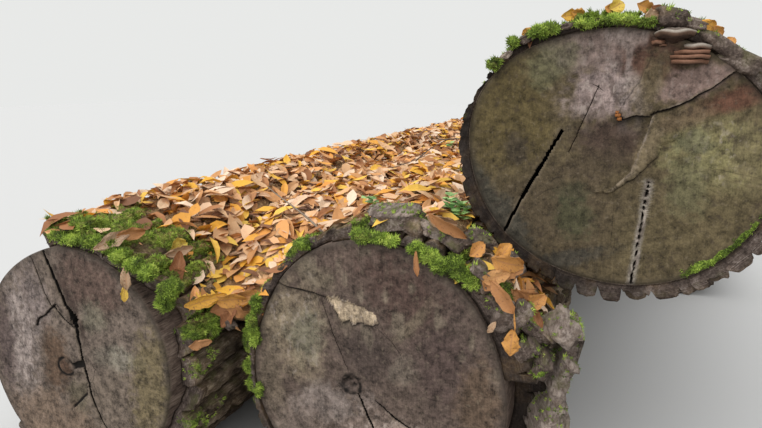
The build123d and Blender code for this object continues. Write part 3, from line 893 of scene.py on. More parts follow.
# %% Sockets that take part in expressions
class Wire:
    """An output socket that can be used in sums."""

    def __init__(self, tree, socket):
        self.tree, self.socket = tree, socket

    def maths(self, operation, *values, clamp=False):
        settings = {"operation": operation, "use_clamp": clamp}
        return self.tree.node("ShaderNodeMath", settings, dict(enumerate(values)))

    def __add__(self, other):
        return self.maths("ADD", self, other)

    def __sub__(self, other):
        return self.maths("SUBTRACT", self, other)

    def __rsub__(self, other):
        return self.maths("SUBTRACT", other, self)

    def __mul__(self, other):
        return self.maths("MULTIPLY", self, other)

    __radd__ = __add__
    __rmul__ = __mul__

    def clamped(self):
        """Kept between 0 and 1."""
        return self.maths("ADD", self, 0.0, clamp=True)

    def fade(self, start, end):
        """0 up to start, 1 from end on, as fade() does for points."""
        sockets = {"Value": self, "From Min": start, "From Max": end}
        return self.tree.node("ShaderNodeMapRange", {"interpolation_type": "SMOOTHSTEP"}, sockets)


class Tree:
    """A node tree under construction."""

    def __init__(self, nodes, links):
        self.nodes, self.links = nodes, links

    def node(self, kind, settings=None, sockets=None, output=0):
        """Any node: its type, its settings, and the values or wires of its sockets. Gives one output."""
        made = self.nodes.new(kind)
        for key, value in (settings or {}).items():
            if key == "stops":
                ramp = made.color_ramp.elements
                while len(ramp) < len(value):
                    ramp.new(0.5)
                for stop, (place, colour) in zip(ramp, value):
                    stop.position, stop.color = place, (*colour, 1)
            else:
                setattr(made, key, value)
        for key, value in (sockets or {}).items():
            if isinstance(value, Wire):
                self.links.new(value.socket, made.inputs[key])
            elif isinstance(value, tuple) and len(value) == 3 and made.inputs[key].type == "RGBA":
                made.inputs[key].default_value = (*value, 1)
            else:
                made.inputs[key].default_value = value
        return Wire(self, made.outputs[output])


# %% Materials with the patterns they share
class Finish(Tree):
    """A material under construction, with the patterns that all of them use."""

    def __init__(self, name):
        self.material = bpy.data.materials.new(name)
        self.material.use_nodes = True
        super().__init__(self.material.node_tree.nodes, self.material.node_tree.links)
        self.nodes.clear()
        self.place = self.node("ShaderNodeTexCoord", output="Object")

    def mark(self, name):
        """A named value of the mesh's points."""
        return self.node("ShaderNodeAttribute", {"attribute_name": name}, output="Fac")

    def tint(self, name):
        """A named colour of the mesh's points."""
        return self.node("ShaderNodeAttribute", {"attribute_name": name}, output="Color")

    def noise(self, size, detail=3.0, stretch=(1, 1, 1), rough=0.55, turn=(0, 0, 0), shift=(0, 0, 0)):
        """Noise with features of about one size in metres, longer where stretch is above 1."""
        scale = tuple(1 / s for s in stretch)
        sockets = {"Vector": self.place, "Scale": scale, "Rotation": turn, "Location": shift}
        mapped = self.node("ShaderNodeMapping", {}, sockets)
        sockets = {"Vector": mapped, "Scale": 1 / size, "Detail": detail, "Roughness": rough}
        return self.node("ShaderNodeTexNoise", {}, sockets)

    def mix(self, factor, first, second, blend="MIX"):
        settings = {"data_type": "RGBA", "blend_type": blend}
        return self.node("ShaderNodeMix", settings, {0: factor, 6: first, 7: second}, 2)

    def shaded(self, colour, light):
        """A colour made lighter or darker by a factor."""
        grey = self.node("ShaderNodeCombineColor", {}, {0: light, 1: light, 2: light})
        return self.mix(1.0, colour, grey, "MULTIPLY")

    def spotted(self, colour, patch, amount, low, high, *pattern, **more):
        """A colour with another one where a noise goes from low to high."""
        return self.mix(self.noise(*pattern, **more).fade(low, high) * amount, colour, patch)

    def vector(self, operation, *values, output=0):
        return self.node("ShaderNodeVectorMath", {"operation": operation}, dict(enumerate(values)), output)

    def ramp(self, value, *stops):
        return self.node("ShaderNodeValToRGB", {"stops": stops}, {"Fac": value})

    def up(self):
        """1 on what faces the sky, -1 on what faces the ground."""
        normal = self.node("ShaderNodeNewGeometry", output="Normal")
        return self.node("ShaderNodeSeparateXYZ", {}, {0: normal}, 2)

    def finished(self, colour, roughness, height=None, bump=1.0, depth=0.002, **constants):
        """Ends the material in a Principled shader, with a Bump of the given height."""
        sockets = {"Base Color": colour, "Roughness": roughness}
        if height is not None:
            bumps = {"Height": height, "Strength": bump, "Distance": depth}
            sockets["Normal"] = self.node("ShaderNodeBump", {}, bumps)
        sockets.update({key.replace("_", " "): value for key, value in constants.items()})
        shader = self.node("ShaderNodeBsdfPrincipled", {}, sockets)
        end = self.nodes.new("ShaderNodeOutputMaterial")
        self.links.new(shader.socket, end.inputs["Surface"])
        return self.material


# %% [markdown]
# ### Weathered end grain
# The patches of stain, with painted highlights and painted shadows, are already on the mesh's points. The
# shader adds what is finer than its grid: rays and rings about the heart, the saw's scratches, specks of
# mould, near-black painted shade in the cracks, a damp dark edge, and moss where the mesh says so. The
# sides of a log, without bark, get a grain along the log.

# %% The end grain finish
def mossed(finish, colour, size, spread, low, high):
    """A colour with moss where the mesh says so: dark between its shoots, yellow green at their tips.

    Also gives how much moss there is, and its fine noise for the bump."""
    fine = finish.noise(0.006, 4)
    shade = (fine * 0.7 + finish.noise(0.05, 2) * 0.5).fade(0.38, 0.82)
    green = finish.ramp(shade, (0.0, (0.024, 0.034, 0.007)), (0.45, (0.105, 0.16, 0.02)),
                        (1.0, (0.33, 0.43, 0.07)))
    moss = finish.mark("moss")
    ragged = (finish.noise(size, 4) - 0.5) * spread * moss.fade(0.0, 0.2)
    shown = (moss + ragged).fade(low, high)
    return finish.mix(shown, colour, green), shown, fine


ring_rate = 900  # radians of the rings' wave in a metre, so they are 7 mm apart
darkest = 0.22


def end_grain(name, heart, saw_turn, contrast):
    """The finish of a log's wood: its heart in metres, and the turn of its saw marks in degrees."""
    finish = Finish(name)
    centre = finish.node("ShaderNodeCombineXYZ", {}, {"X": heart[0], "Y": 0.0, "Z": heart[1]})
    across = finish.vector("MULTIPLY", finish.vector("SUBTRACT", finish.place, centre), (1, 0, 1))
    radius = finish.vector("LENGTH", across, output="Value")
    spoke = finish.vector("NORMALIZE", across)
    rays = finish.node("ShaderNodeTexNoise", {}, {"Vector": spoke, "Scale": 55.0, "Detail": 3.0})
    wobbly = (radius + finish.noise(0.09, 2) * 0.02) * ring_rate
    rings = wobbly.maths("SINE", wobbly) * 0.5 + 0.5
    scratches = finish.noise(0.0022, 3, (1, 1, 26), turn=(0, radians(saw_turn), 0))
    cross_cut = finish.noise(0.004, 2, (1, 1, 22), turn=(0, radians(saw_turn + 62), 0))
    mottle = finish.noise(0.035, 5, rough=0.65)
    specks = finish.noise(0.007, 3, rough=0.7)
    cloud = finish.noise(0.013, 6, rough=0.75, shift=(2, 0, 6))
    uneven = (mottle - 0.5) * 2.2 + (cloud - 0.5) * 1.7 + (specks - 0.5) * 0.9 + (rays - 0.5) * 0.4
    uneven = uneven + (scratches - 0.5) * 0.5 + (cross_cut - 0.5) * 0.2 + (rings - 0.5) * 0.05
    light = 0.84 + uneven * contrast
    light = light.maths("MAXIMUM", light, darkest)
    tint = finish.tint("tint")
    bright = finish.node("ShaderNodeRGBToBW", {}, {0: tint}).fade(0.11, 0.24)
    face = finish.shaded(tint, light)
    face = finish.spotted(face, (0.26, 0.205, 0.145), 0.3, 0.55, 0.75, 0.016, 4, shift=(3, 0, 1))
    face = finish.spotted(face, (0.038, 0.027, 0.02), 0.55, 0.56, 0.72, 0.022, 4, shift=(7, 0, 5))
    face = finish.spotted(face, (0.078, 0.054, 0.044), bright * 0.55, 0.47, 0.6, 0.03, 4, (1, 1, 1.8), 0.6,
                          shift=(1, 5, 2))
    face = finish.spotted(face, (0.48, 0.4, 0.35), bright * 0.45, 0.52, 0.66, 0.02, 5, (1, 1, 1.6), 0.6,
                          shift=(8, 1, 2))
    face = finish.mix(finish.mark("worn") * 0.3, face, (0.3, 0.235, 0.165))
    darkened = (finish.mark("edge") * (0.35 + mottle * 0.9)).clamped() * 0.7
    face = finish.mix(darkened, face, (0.036, 0.029, 0.022))
    grain = finish.noise(0.005, 5, (1, 12, 1), 0.7) * 0.5 + finish.noise(0.045, 5, (1, 2, 1), 0.7) * 0.5
    side = finish.ramp(grain, (0.38, (0.026, 0.018, 0.014)), (0.5, (0.11, 0.076, 0.06)),
                       (0.64, (0.25, 0.19, 0.15)))
    sawn = finish.mark("sawn")
    wood, mossy, fine = mossed(finish, finish.mix(sawn, side, face), 0.03, 1.2, 0.35, 0.62)
    # Painted shade: near black where the mark named crack is high (painted shadows, shade pockets and
    # holes, with the real dark of rot and knot rings), in cuts deeper than a few mm, and along the thin
    # crack lines.
    wood = finish.mix(finish.mark("crack").fade(0.05, 0.85), wood, (0.007, 0.005, 0.004))
    wood = finish.mix(finish.mark("sunk").fade(0.002, 0.006), wood, (0.004, 0.003, 0.002))
    line, width = finish.mark("line"), finish.mark("line_width")
    past = line.maths("ABSOLUTE", line) - width
    drawn = (1 - past.fade(-0.0004, 0.0005)) * width.fade(0.0001, 0.0006)
    wood = finish.mix(drawn, wood, (0.006, 0.004, 0.003))
    height = scratches * 0.2 + cross_cut * 0.1 + specks * 0.35 + mottle * 0.8 + rays * 0.25
    height = (height + fine * mossy * 2.0) * sawn + grain * (1 - sawn) * 1.5
    roughness = (0.92 - 0.25 * mottle + 0.1 * mossy).clamped()
    return finish.finished(wood, roughness, height, 0.7, 0.003, Specular_IOR_Level=0.2)


# for each log: its wood, where its heart is, how the saw's scratches are turned, and the contrast
for log, piece, heart, saw_turn, contrast in (
        (left, wood_left, (-0.042, -0.009), 12, 1.2), (middle, wood_middle, (-0.071, -0.018), -20, 1.15),
        (top, wood_top, (0.01, 0.02), -58, 1.0), (bearer, wood_bearer, (0, 0), 0, 1.0)):
    heart = log.wood.centre + np.array(heart) + stack_zero[[0, 2]]
    name = piece.name.replace("wood", "end_grain")
    piece.data.materials.append(end_grain(name, heart, saw_turn, contrast))

# %% [markdown]
# ### Bark
# Bark is grey-brown on its ridges, paler where a block has broken off, and layered wherever it is broken.
# Its furrows and the cracks between its blocks are painted near black as shade, and so is a given span of
# some front ends. Moss and algae grow on what faces the sky. The mesh says how high each point stands, so
# the colour and the painted shade follow the real furrows.

# %% The bark finish
def bark_finish(name):
    """The bark's finish, which reads how high and how broken each point is, where its front end is painted
    dark as shade, and how leafy and mossy it is.
    """
    finish = Finish(name)
    rise, block = finish.mark("rise"), finish.mark("block")
    broken, crack = finish.mark("broken"), finish.mark("crack")
    fibres = finish.noise(0.007, 5, (1, 6, 1), rough=0.65)
    flakes = finish.noise(0.024, 6, (1, 2.5, 1), rough=0.65)
    broad = finish.noise(0.11, 3)
    place = {"W": rise + flakes * 0.1 + fibres * 0.03, "Scale": 26.0, "Detail": 3.0, "Roughness": 0.7}
    layers = finish.node("ShaderNodeTexNoise", {"noise_dimensions": "1D"}, place)
    tone = 0.5 + (flakes - 0.5) * 0.9 + (fibres - 0.5) * 0.8 + (layers - 0.5) * 0.7 + (block - 0.5) * 0.25
    tone = (tone + (broad - 0.5) * 0.5).clamped()
    ridge = finish.ramp(tone, (0.15, (0.03, 0.02, 0.014)), (0.4, (0.105, 0.072, 0.048)),
                        (0.6, (0.23, 0.168, 0.114)), (0.85, (0.45, 0.365, 0.275)))
    torn = finish.ramp(tone, (0.2, (0.04, 0.028, 0.024)), (0.48, (0.135, 0.1, 0.084)),
                       (0.78, (0.36, 0.295, 0.26)))
    colour = finish.mix((broken * 0.9).clamped(), ridge, torn)
    # Painted shade: the furrows, and the cracks between blocks, are mixed to near black.
    deep = 1 - rise.fade(0.22, 0.58)
    sunk = (deep * (1 - broken) + crack * 0.7).clamped() * 0.88
    colour = finish.mix(sunk, colour, (0.012, 0.008, 0.006))
    # Painted shade: the given span of the front end is mixed to near black.
    colour = finish.mix(finish.mark("wet") * 0.8, colour, (0.014, 0.01, 0.008))
    green = finish.up().fade(-0.25, 0.45) * (1 - deep) * 0.55
    colour = finish.spotted(colour, (0.09, 0.09, 0.028), green, 0.45, 0.66, 0.05, 4, shift=(4, 2, 0))
    colour, mossy, fine = mossed(finish, colour, 0.025, 0.8, 0.22, 0.5)
    fallen = finish.ramp(finish.noise(0.012, 5, rough=0.7), (0.34, (0.06, 0.034, 0.018)),
                         (0.48, (0.3, 0.165, 0.07)), (0.66, (0.64, 0.42, 0.21)))
    colour = finish.mix((finish.mark("leafy") * 1.4 + broad - 0.5).clamped() * 0.85, colour, fallen)
    height = flakes * 1.3 + fibres * 0.9 + layers * 0.8 + fine * mossy * 1.5
    roughness = (0.95 - 0.2 * broad + 0.05 * mossy).clamped()
    return finish.finished(colour, roughness, height, 1.0, 0.007, Specular_IOR_Level=0.2)


bark_material = bark_finish("ridged_bark")
for piece in (bark_left, bark_middle, bark_top, bark_bearer):
    piece.data.materials.append(bark_material)

# %% [markdown]
# ## Litter in the valley
# Years of leaves have rotted to a dark crumbly bed between the two lower logs, heaped highest in the
# middle. The bed is a plain closed form with an uneven top, and only the leaves that lie on it are made
# one by one. Its feet lie on the shoulders of both logs, as the solid's do.

# %% The litter bed
litter_bottom = 0.69
litter_foot = 36
litter_pile = 0.06
litter_slope = 0.7
litter_front = 0.04
litter_end_fill, litter_near_fill = 0.12, 0.72
bed_lumps, bed_crumbs, bed_thinnest = 0.022, 0.012, 0.03
bed_columns = 44
bed_rows = 150


def build_bed():
    """The bed as one closed form: an uneven top between the shoulders of the logs, and a bottom."""
    west = left.bark.point(90 - litter_foot - left.bark.tilt)
    east = middle.bark.point(90 + litter_foot - middle.bark.tilt)
    front, back = litter_front, left.back - litter_front
    share, place = np.meshgrid(np.linspace(0, 1, bed_columns), np.linspace(0, 1, bed_rows) ** 1.3)
    y = front + (back - front) * place
    ends = (front, front + litter_slope / 2, front + litter_slope, back - litter_slope, back)
    fill = np.interp(y, ends, (litter_end_fill, litter_near_fill, 1, 1, litter_end_fill))
    height = west[1] + (east[1] - west[1]) * share + litter_pile * np.sin(pi * share)
    level = litter_bottom + (height - litter_bottom) * fill
    x = west[0] + (east[0] - west[0]) * share
    space = xyz(x, y, 0)
    level = level + bed_lumps * layered(space, 0.16, 81, 4) + bed_crumbs * noise(space, 0.03, 88)
    sides = [np.stack([x, z], -1) for z in (level, np.minimum(level - bed_thinnest, litter_bottom))]
    points = np.concatenate([in_frame(side, y).reshape(-1, 3) for side in sides])
    half, last = bed_columns * bed_rows, (bed_rows - 1) * bed_columns
    faces = strips(bed_rows, bed_columns, 0, closed=False)
    faces += strips(bed_rows, bed_columns, half, closed=False, flip=True)
    for c in range(bed_columns - 1):
        faces.append((c + 1, c, half + c, half + c + 1))
        faces.append((last + c, last + c + 1, half + last + c + 1, half + last + c))
    for a in range(0, last, bed_columns):
        b = a + bed_columns
        faces.append((a, b, half + b, half + a))
        faces.append((b + bed_columns - 1, b - 1, half + b - 1, half + b + bed_columns - 1))
    buried = np.zeros(half)
    for log in (left, middle):
        local = turned(sides[0].reshape(-1, 2) - log.bark.centre, -log.bark.tilt) / log.bark.half
        buried = np.maximum(buried, np.linalg.norm(local, axis=1) < 0.99)
    leafy = np.concatenate([1 - buried, np.zeros(half)])
    piece = make_piece("litter_bed", points, faces, {"leafy": leafy})
    return hand_over(piece, "leaf_litter")


litter_bed = build_bed()

# %% [markdown]
# ## Where leaves and moss settle
# Leaves stay where a surface is level enough, and moss on damp ridges near the sawn ends. Both are
# sown by Geometry Nodes, so the surfaces only need two named values on their points: how leafy and how
# mossy each place is. They are worked out from the way the surface faces and from where it lies.

# %% Leafy and mossy places on the bark
def read(values, name, width=1):
    """What a list of the mesh, such as its vertices, says under a name."""
    found = np.zeros(len(values) * width)
    values.foreach_get(name, found)
    return found if width == 1 else found.reshape(-1, width)


def settle(piece, log, leaf_start, leaf_from):
    """Marks where leaves lie on a log's bark, and adds thin moss to what faces the sky."""
    mesh = piece.data
    place, up = read(mesh.vertices, "co", 3) - stack_zero, read(mesh.vertices, "normal", 3)[:, 2]
    across = place[:, [0, 2]] / (1 - taper_per_metre * place[:, 1:2]) - log.wood.centre
    broad = across[:, 1] / np.linalg.norm(across, axis=1)
    behind = place[:, 1] - log.front
    patch = layered(place, 0.25, log.seed + 20, 3)
    leafy = fade(up, 0.05, 0.55) * fade(broad + 0.12 * patch, leaf_from, leaf_from + 0.2)
    leafy = leafy * (0.2 + 0.8 * fade(behind + 0.15 * patch, leaf_start, leaf_start + 0.3))
    mossy = mesh.attributes["moss"].data
    moss = np.maximum(read(mossy, "value"), 0.1 * fade(patch, 0.2, 0.7) * fade(up, 0.2, 0.7))
    mossy.foreach_set("value", moss.astype(np.float32))
    mesh.attributes.new("leafy", "FLOAT", "POINT").data.foreach_set("value", leafy.astype(np.float32))
    print(piece.name, "leafy", round(float(leafy.mean()), 3), "mossy", round(float(moss.mean()), 3))


settle(bark_left, left, 0.14, 0.18)
settle(bark_middle, middle, 0.02, 0.34)
settle(bark_top, top, 0.0, 0.7)
settle(bark_bearer, bearer, 0.0, 0.75)

# %% [markdown]
# ### Leaf shapes
# The leaves are long and narrow, folded along the midrib and curled as they dried. A few shapes are
# enough, because each copy is turned, scaled and coloured on its own. A leaf is a thin closed form with
# only two dozen triangles: thousands of them will lie here.

# %% Leaf shapes
leaf_thickness = 0.0008


def leaf_form(length, width, curl, fold, twist, rows=3):
    """Points and faces of a leaf: rows of left edge, rib above, right edge and rib below, and two tips."""
    points = [(0, -length / 2, -curl * length)]
    for i in range(1, rows + 1):
        s = i / (rows + 1)
        half = width / 2 * sin(pi * s**0.85) ** 0.8
        y, droop = length * (s - 0.5), -curl * (2 * s - 1) ** 2 * length
        across, rise = half * cos(twist * (s - 0.5)), half * sin(twist * (s - 0.5))
        points += [(-across, y, droop + half * fold - rise), (0, y, droop + leaf_thickness),
                   (across, y, droop + half * fold + rise), (0, y, droop - leaf_thickness)]
    points.append((0, length / 2, -curl * length))
    last = 1 + 4 * (rows - 1)
    faces = [(0, 1 + n, 1 + c) for c, n in neighbours(4)] + strips(rows, 4, 1, flip=True)
    return points, faces + [(last + c, last + n, last + 4) for c, n in neighbours(4)]


def kinds(name, forms):
    """A collection of shapes that are only copied, and aren't in the scene themselves."""
    made = bpy.data.collections.new(name + "_kinds")
    for i, (points, faces) in enumerate(forms):
        piece = make_piece(f"{name}_kind_{i}", points, faces)
        bpy.context.scene.collection.objects.unlink(piece)
        made.objects.link(piece)
    return made


leaf_sizes = [(0.17, 0.066, 0.05, 0.22, 0.3), (0.15, 0.058, -0.08, 0.14, -0.7),
              (0.18, 0.052, 0.12, 0.45, 0.6), (0.12, 0.07, 0.04, 0.1, 0.2), (0.15, 0.044, 0.18, 0.7, 1.1)]
leaf_kinds = kinds("leaf", [leaf_form(*sizes) for sizes in leaf_sizes])

# %% [markdown]
# ### Sowing with Geometry Nodes
# One tree sows both leaves and moss: it scatters points over a surface, more where a named value is
# high, stands a random shape on each, turns and scales it, lifts it where they lie thick, and gives it a
# random tone that the finish reads. The copies are made real at the end.

# %% The sowing tree
def sowing_tree():
    """The tree that sows, and what the modifier calls each of its inputs."""
    group = bpy.data.node_groups.new("sow", "GeometryNodeTree")
    port_kinds = {"Surface": "Geometry", "Shapes": "Collection", "Finish": "Material", "Where": "String",
                  "Seed": "Int"}
    ports = {}
    for label in (*port_kinds, "Density", "Tilt", "Lift", "Smallest", "Largest", "Upright"):
        kind = "NodeSocket" + port_kinds.get(label, "Float")
        ports[label] = group.interface.new_socket(label, in_out="INPUT", socket_type=kind).identifier
    group.interface.new_socket("Sown", in_out="OUTPUT", socket_type="NodeSocketGeometry")
    tree = Tree(group.nodes, group.links)
    entry = group.nodes.new("NodeGroupInput")
    port = {name: Wire(tree, entry.outputs[name]) for name in ports}
    chance = tree.node("GeometryNodeInputNamedAttribute", {"data_type": "FLOAT"}, {"Name": port["Where"]})
    scatter = {"Mesh": port["Surface"], "Density": port["Density"] * chance, "Seed": port["Seed"]}
    points = tree.node("GeometryNodeDistributePointsOnFaces", {}, scatter)
    lying = Wire(tree, points.socket.node.outputs["Rotation"])
    upright = tree.node("FunctionNodeEulerToRotation", {}, {0: (0, 0, 0)})
    stance = {0: port["Upright"], 8: lying, 9: upright}
    mixed_turn = tree.node("ShaderNodeMix", {"data_type": "ROTATION"}, stance, 3)

    def chosen(low, high, salt):
        """A random number between two others, of its own for each copy."""
        sockets = {2: low, 3: high, 8: port["Seed"] + salt}
        return tree.node("FunctionNodeRandomValue", {"data_type": "FLOAT"}, sockets, 1)

    tilts = [chosen(port["Tilt"] * -1, port["Tilt"], salt) for salt in (1, 2)]
    turn = tree.node("ShaderNodeCombineXYZ", {}, {0: tilts[0], 1: tilts[1], 2: chosen(-pi, pi, 3)})
    own_turn = tree.node("FunctionNodeEulerToRotation", {}, {0: turn})
    local = {"rotation_space": "LOCAL"}
    final = tree.node("FunctionNodeRotateRotation", local, {0: mixed_turn, 1: own_turn})
    shapes = tree.node("GeometryNodeCollectionInfo", {}, {0: port["Shapes"], 1: True, 2: True})
    stood = {"Points": points, "Instance": shapes, "Pick Instance": True, "Rotation": final,
             "Scale": chosen(port["Smallest"], port["Largest"], 4)}
    copies = tree.node("GeometryNodeInstanceOnPoints", {}, stood)
    lift = tree.node("ShaderNodeCombineXYZ", {}, {2: chosen(0.0, port["Lift"] * chance * chance, 5)})
    raised = {"Instances": copies, "Translation": lift, "Local Space": False}
    lifted = tree.node("GeometryNodeTranslateInstances", {}, raised)
    tone = {"Geometry": lifted, "Name": "tone", "Value": chosen(0.0, 1.0, 6)}
    each = {"data_type": "FLOAT", "domain": "INSTANCE"}
    toned = tree.node("GeometryNodeStoreNamedAttribute", each, tone)
    real = tree.node("GeometryNodeRealizeInstances", {}, {0: toned})
    dressed = tree.node("GeometryNodeSetMaterial", {}, {0: real, 2: port["Finish"]})
    leave = group.nodes.new("NodeGroupOutput")
    group.links.new(dressed.socket, leave.inputs[0])
    return group, ports


sow_group, sow_ports = sowing_tree()


# %% Sow on a surface
def sow(name, surface, slot, **values):
    """Sows shapes over a surface and gives them as one plain piece that rides with the stack."""
    helper = bpy.data.objects.new(name + "_surface", surface.data)
    bpy.context.scene.collection.objects.link(helper)
    modifier = helper.modifiers.new("sow", "NODES")
    modifier.node_group = sow_group
    for key, value in values.items():
        modifier[sow_ports[key]] = value
    graph = bpy.context.evaluated_depsgraph_get()
    mesh = bpy.data.meshes.new_from_object(helper.evaluated_get(graph), depsgraph=graph)
    bpy.data.objects.remove(helper)
    mesh.name = name
    mesh.polygons.foreach_set("use_smooth", [False] * len(mesh.polygons))
    piece = bpy.data.objects.new(name, mesh)
    bpy.context.scene.collection.objects.link(piece)
    return hand_over(piece)


# %% [markdown]
# ### The leaf finish
# Each leaf has one tone of its own: most are tan to orange brown, some are fresh yellow, some are
# already dark. Broad blotches lie over that, and the leaves that are placed one by one also have dark
# spots, and veins that run out from the midrib.

# %% The leaf finish
def leaf_finish(name, stops, veined=0.0):
    """Leaves coloured by their tone; veined ones also read where they are on the leaf."""
    finish = Finish(name)
    tone, rib, vein = finish.mark("tone"), finish.mark("rib"), finish.mark("vein")
    colour = finish.ramp(tone, *stops)
    blotch = finish.noise(0.02, 4, rough=0.6)
    fine = finish.noise(0.004, 3)
    colour = finish.mix(blotch.fade(0.52, 0.74) * 0.3, colour, (0.2, 0.085, 0.036))
    colour = finish.spotted(colour, (0.16, 0.066, 0.028), veined * 0.8, 0.56, 0.66, 0.009, 4, rough=0.7,
                            shift=(2, 3, 4))
    stripes = vein.maths("SINE", vein * 48.0 - rib * 9.0).fade(0.55, 1.0) * 0.35
    lines = stripes.maths("MAXIMUM", stripes, (1 - rib.fade(0.03, 0.14)) * 0.6) * veined
    colour = finish.mix(lines, colour, (0.33, 0.15, 0.06))
    colour = finish.shaded(colour, 0.9 + blotch * 0.25 + fine * 0.2)
    return finish.finished(colour, 0.62 + fine * 0.2, fine + blotch + lines, 0.4, 0.0015)


sown_stops = ((0.0, (0.11, 0.044, 0.02)), (0.1, (0.3, 0.12, 0.04)), (0.28, (0.52, 0.25, 0.09)),
              (0.48, (0.56, 0.35, 0.19)), (0.66, (0.72, 0.54, 0.39)), (0.78, (0.6, 0.25, 0.05)),
              (0.88, (0.68, 0.35, 0.03)), (1.0, (0.7, 0.46, 0.08)))
leaf_material = leaf_finish("fallen_leaves", sown_stops)

# %% The litter bed's finish
def litter_finish(name):
    """Crumbs and flakes of rotted leaves."""
    finish = Finish(name)
    crumbs = finish.noise(0.01, 5, rough=0.7)
    flakes = finish.noise(0.045, 4, (1, 2, 1))
    tone = (crumbs * 0.6 + flakes * 0.45).clamped()
    colour = finish.ramp(tone, (0.32, (0.06, 0.032, 0.018)), (0.44, (0.25, 0.13, 0.06)),
                         (0.56, (0.5, 0.29, 0.13)), (0.7, (0.7, 0.5, 0.29)))
    return finish.finished(colour, 0.9, crumbs + flakes, 1.0, 0.006)


litter_bed.data.materials.append(litter_finish("rotted_litter"))

# %% Sow the leaves
for name, surface, density, seed, tilt, lift, smallest, largest in (
        ("leaves_valley", litter_bed, 900.0, 3, 0.45, 0.026, 0.45, 1.0),
        ("leaves_left", bark_left, 500.0, 5, 0.4, 0.062, 0.45, 1.0),
        ("leaves_middle", bark_middle, 470.0, 7, 0.4, 0.014, 0.45, 1.0),
        ("leaves_top", bark_top, 70.0, 9, 0.3, 0.006, 0.4, 0.7)):
    sow(name, surface, "leaves", Shapes=leaf_kinds, Finish=leaf_material, Where="leafy", Density=density,
        Seed=seed, Tilt=tilt, Lift=lift, Smallest=smallest, Largest=largest, Upright=0.35)

# %% [markdown]
# ### Moss
# Moss makes low cushions of fine shoots. A tuft is a handful of thin three-sided spikes that lean out
# from one root. Sown closely on the mossy ridges, the tufts give the cushions their soft outline, and
# the bark below them is coloured as moss too, so that no gaps show.

# %% Moss tufts
def tuft_form(shoots, height, spread, seed, thick=0.0021):
    """Points and faces of a tuft of spikes."""
    draw = Random(seed)
    points, faces = [], []
    for i in range(shoots):
        turn = 2 * pi * i / shoots + draw.uniform(-0.4, 0.4)
        out = spread * draw.uniform(0.3, 1.0)
        tip = (out * cos(turn), out * sin(turn), height * draw.uniform(0.6, 1.0))
        a, b, c, d = range(len(points), len(points) + 4)
        for k in range(3):
            side = turn + 2 * pi * k / 3
            foot = (0.35 * out * cos(turn) + thick * cos(side), 0.35 * out * sin(turn) + thick * sin(side))
            points.append((*foot, -0.2 * height))
        points.append(tip)
        faces += [(a, b, d), (b, c, d), (c, a, d), (c, b, a)]
    return points, faces


def moss_finish(name):
    """Shoots of moss, from dark green to yellow green."""
    finish = Finish(name)
    shade = (finish.mark("tone") * 0.55 + finish.noise(0.05, 3) * 1.3 - 0.45).clamped()
    colour = finish.ramp(shade, (0.0, (0.028, 0.042, 0.008)), (0.35, (0.12, 0.18, 0.02)),
                         (0.65, (0.3, 0.42, 0.05)), (1.0, (0.62, 0.7, 0.14)))
    return finish.finished(colour, 0.85)


tuft_sizes = ((4, 0.009, 0.009), (4, 0.007, 0.011), (5, 0.011, 0.008))
tuft_kinds = kinds("tuft", [tuft_form(*sizes, 90 + i) for i, sizes in enumerate(tuft_sizes)])
moss_settings = {"Shapes": tuft_kinds, "Finish": moss_finish("moss_shoots"), "Where": "moss", "Tilt": 0.35,
                 "Lift": 0.002, "Smallest": 0.7, "Largest": 1.35, "Upright": 0.15}
for name, surface, density, seed in (
        ("moss_left", bark_left, 8000.0, 13), ("moss_middle", bark_middle, 8000.0, 15),
        ("moss_top", bark_top, 8000.0, 17), ("moss_rim", wood_top, 9000.0, 19)):
    sow(name, surface, "moss", Density=density, Seed=seed, **moss_settings)

# %% [markdown]
# ## Fungi, loose bark and single leaves
# What gives the stack its age is placed one by one: bracket fungi on the top log's face, chunks of bark
# that have come away between the two right-hand logs, curled leaves that hang over the sawn ends, a few
# seedlings in the litter, and twigs. All are small closed forms, gathered in one heap a kind, so a heap
# class collects their points and turns them into one piece.

# %% Heaps of small forms
def turn_matrix(turn):
    """The matrix that turns about x, then y, then z, by angles in degrees."""
    (cx, cy, cz), (sx, sy, sz) = np.cos(np.radians(turn)), np.sin(np.radians(turn))
    about_x = np.array(((1, 0, 0), (0, cx, -sx), (0, sx, cx)))
    about_y = np.array(((cy, 0, sy), (0, 1, 0), (-sy, 0, cy)))
    about_z = np.array(((cz, -sz, 0), (sz, cz, 0), (0, 0, 1)))
    return about_z @ about_y @ about_x


# %% A heap
class Heap:
    """Small forms that become one piece. Places are measured from the stack's zero point."""

    def __init__(self):
        self.points, self.faces, self.marks = [], [], {}

    def add(self, points, faces, place=(0, 0, 0), turn=(0, 0, 0), **marks):
        """Adds a form, turned and set down at its place, with its faces outwards."""
        points = np.asarray(points, float)
        corners = np.array([[points[face[0]], points[face[i]], points[face[i + 1]]]
                            for face in faces for i in range(1, len(face) - 1)])
        volume = np.sum(corners[:, 0] * np.cross(corners[:, 1], corners[:, 2]))
        first = sum(len(part) for part in self.points)
        for face in faces:
            shifted = tuple(first + i for i in face)
            self.faces.append(shifted if volume > 0 else shifted[::-1])
        self.points.append(points @ turn_matrix(turn).T + np.array(place) + stack_zero)
        for key, value in marks.items():
            self.marks.setdefault(key, []).append(value + np.zeros(len(points)))

    def piece(self, name, slot, material, node=None, smooth=True):
        """The whole heap as one piece."""
        marks = {key: np.concatenate(values) for key, values in self.marks.items()}
        made = make_piece(name, np.concatenate(self.points), self.faces, marks, smooth=smooth)
        made.data.materials.append(material)
        return hand_over(made, node)


# %% [markdown]
# ### Bracket fungi
# A bracket is a shelf that grows out of the wood: its outline is turned about an upright line just
# inside the face. Its top is stepped in growth zones and its rim is thin and wavy.

# %% Bracket fungi
bracket_turns, bracket_profile = 26, 11


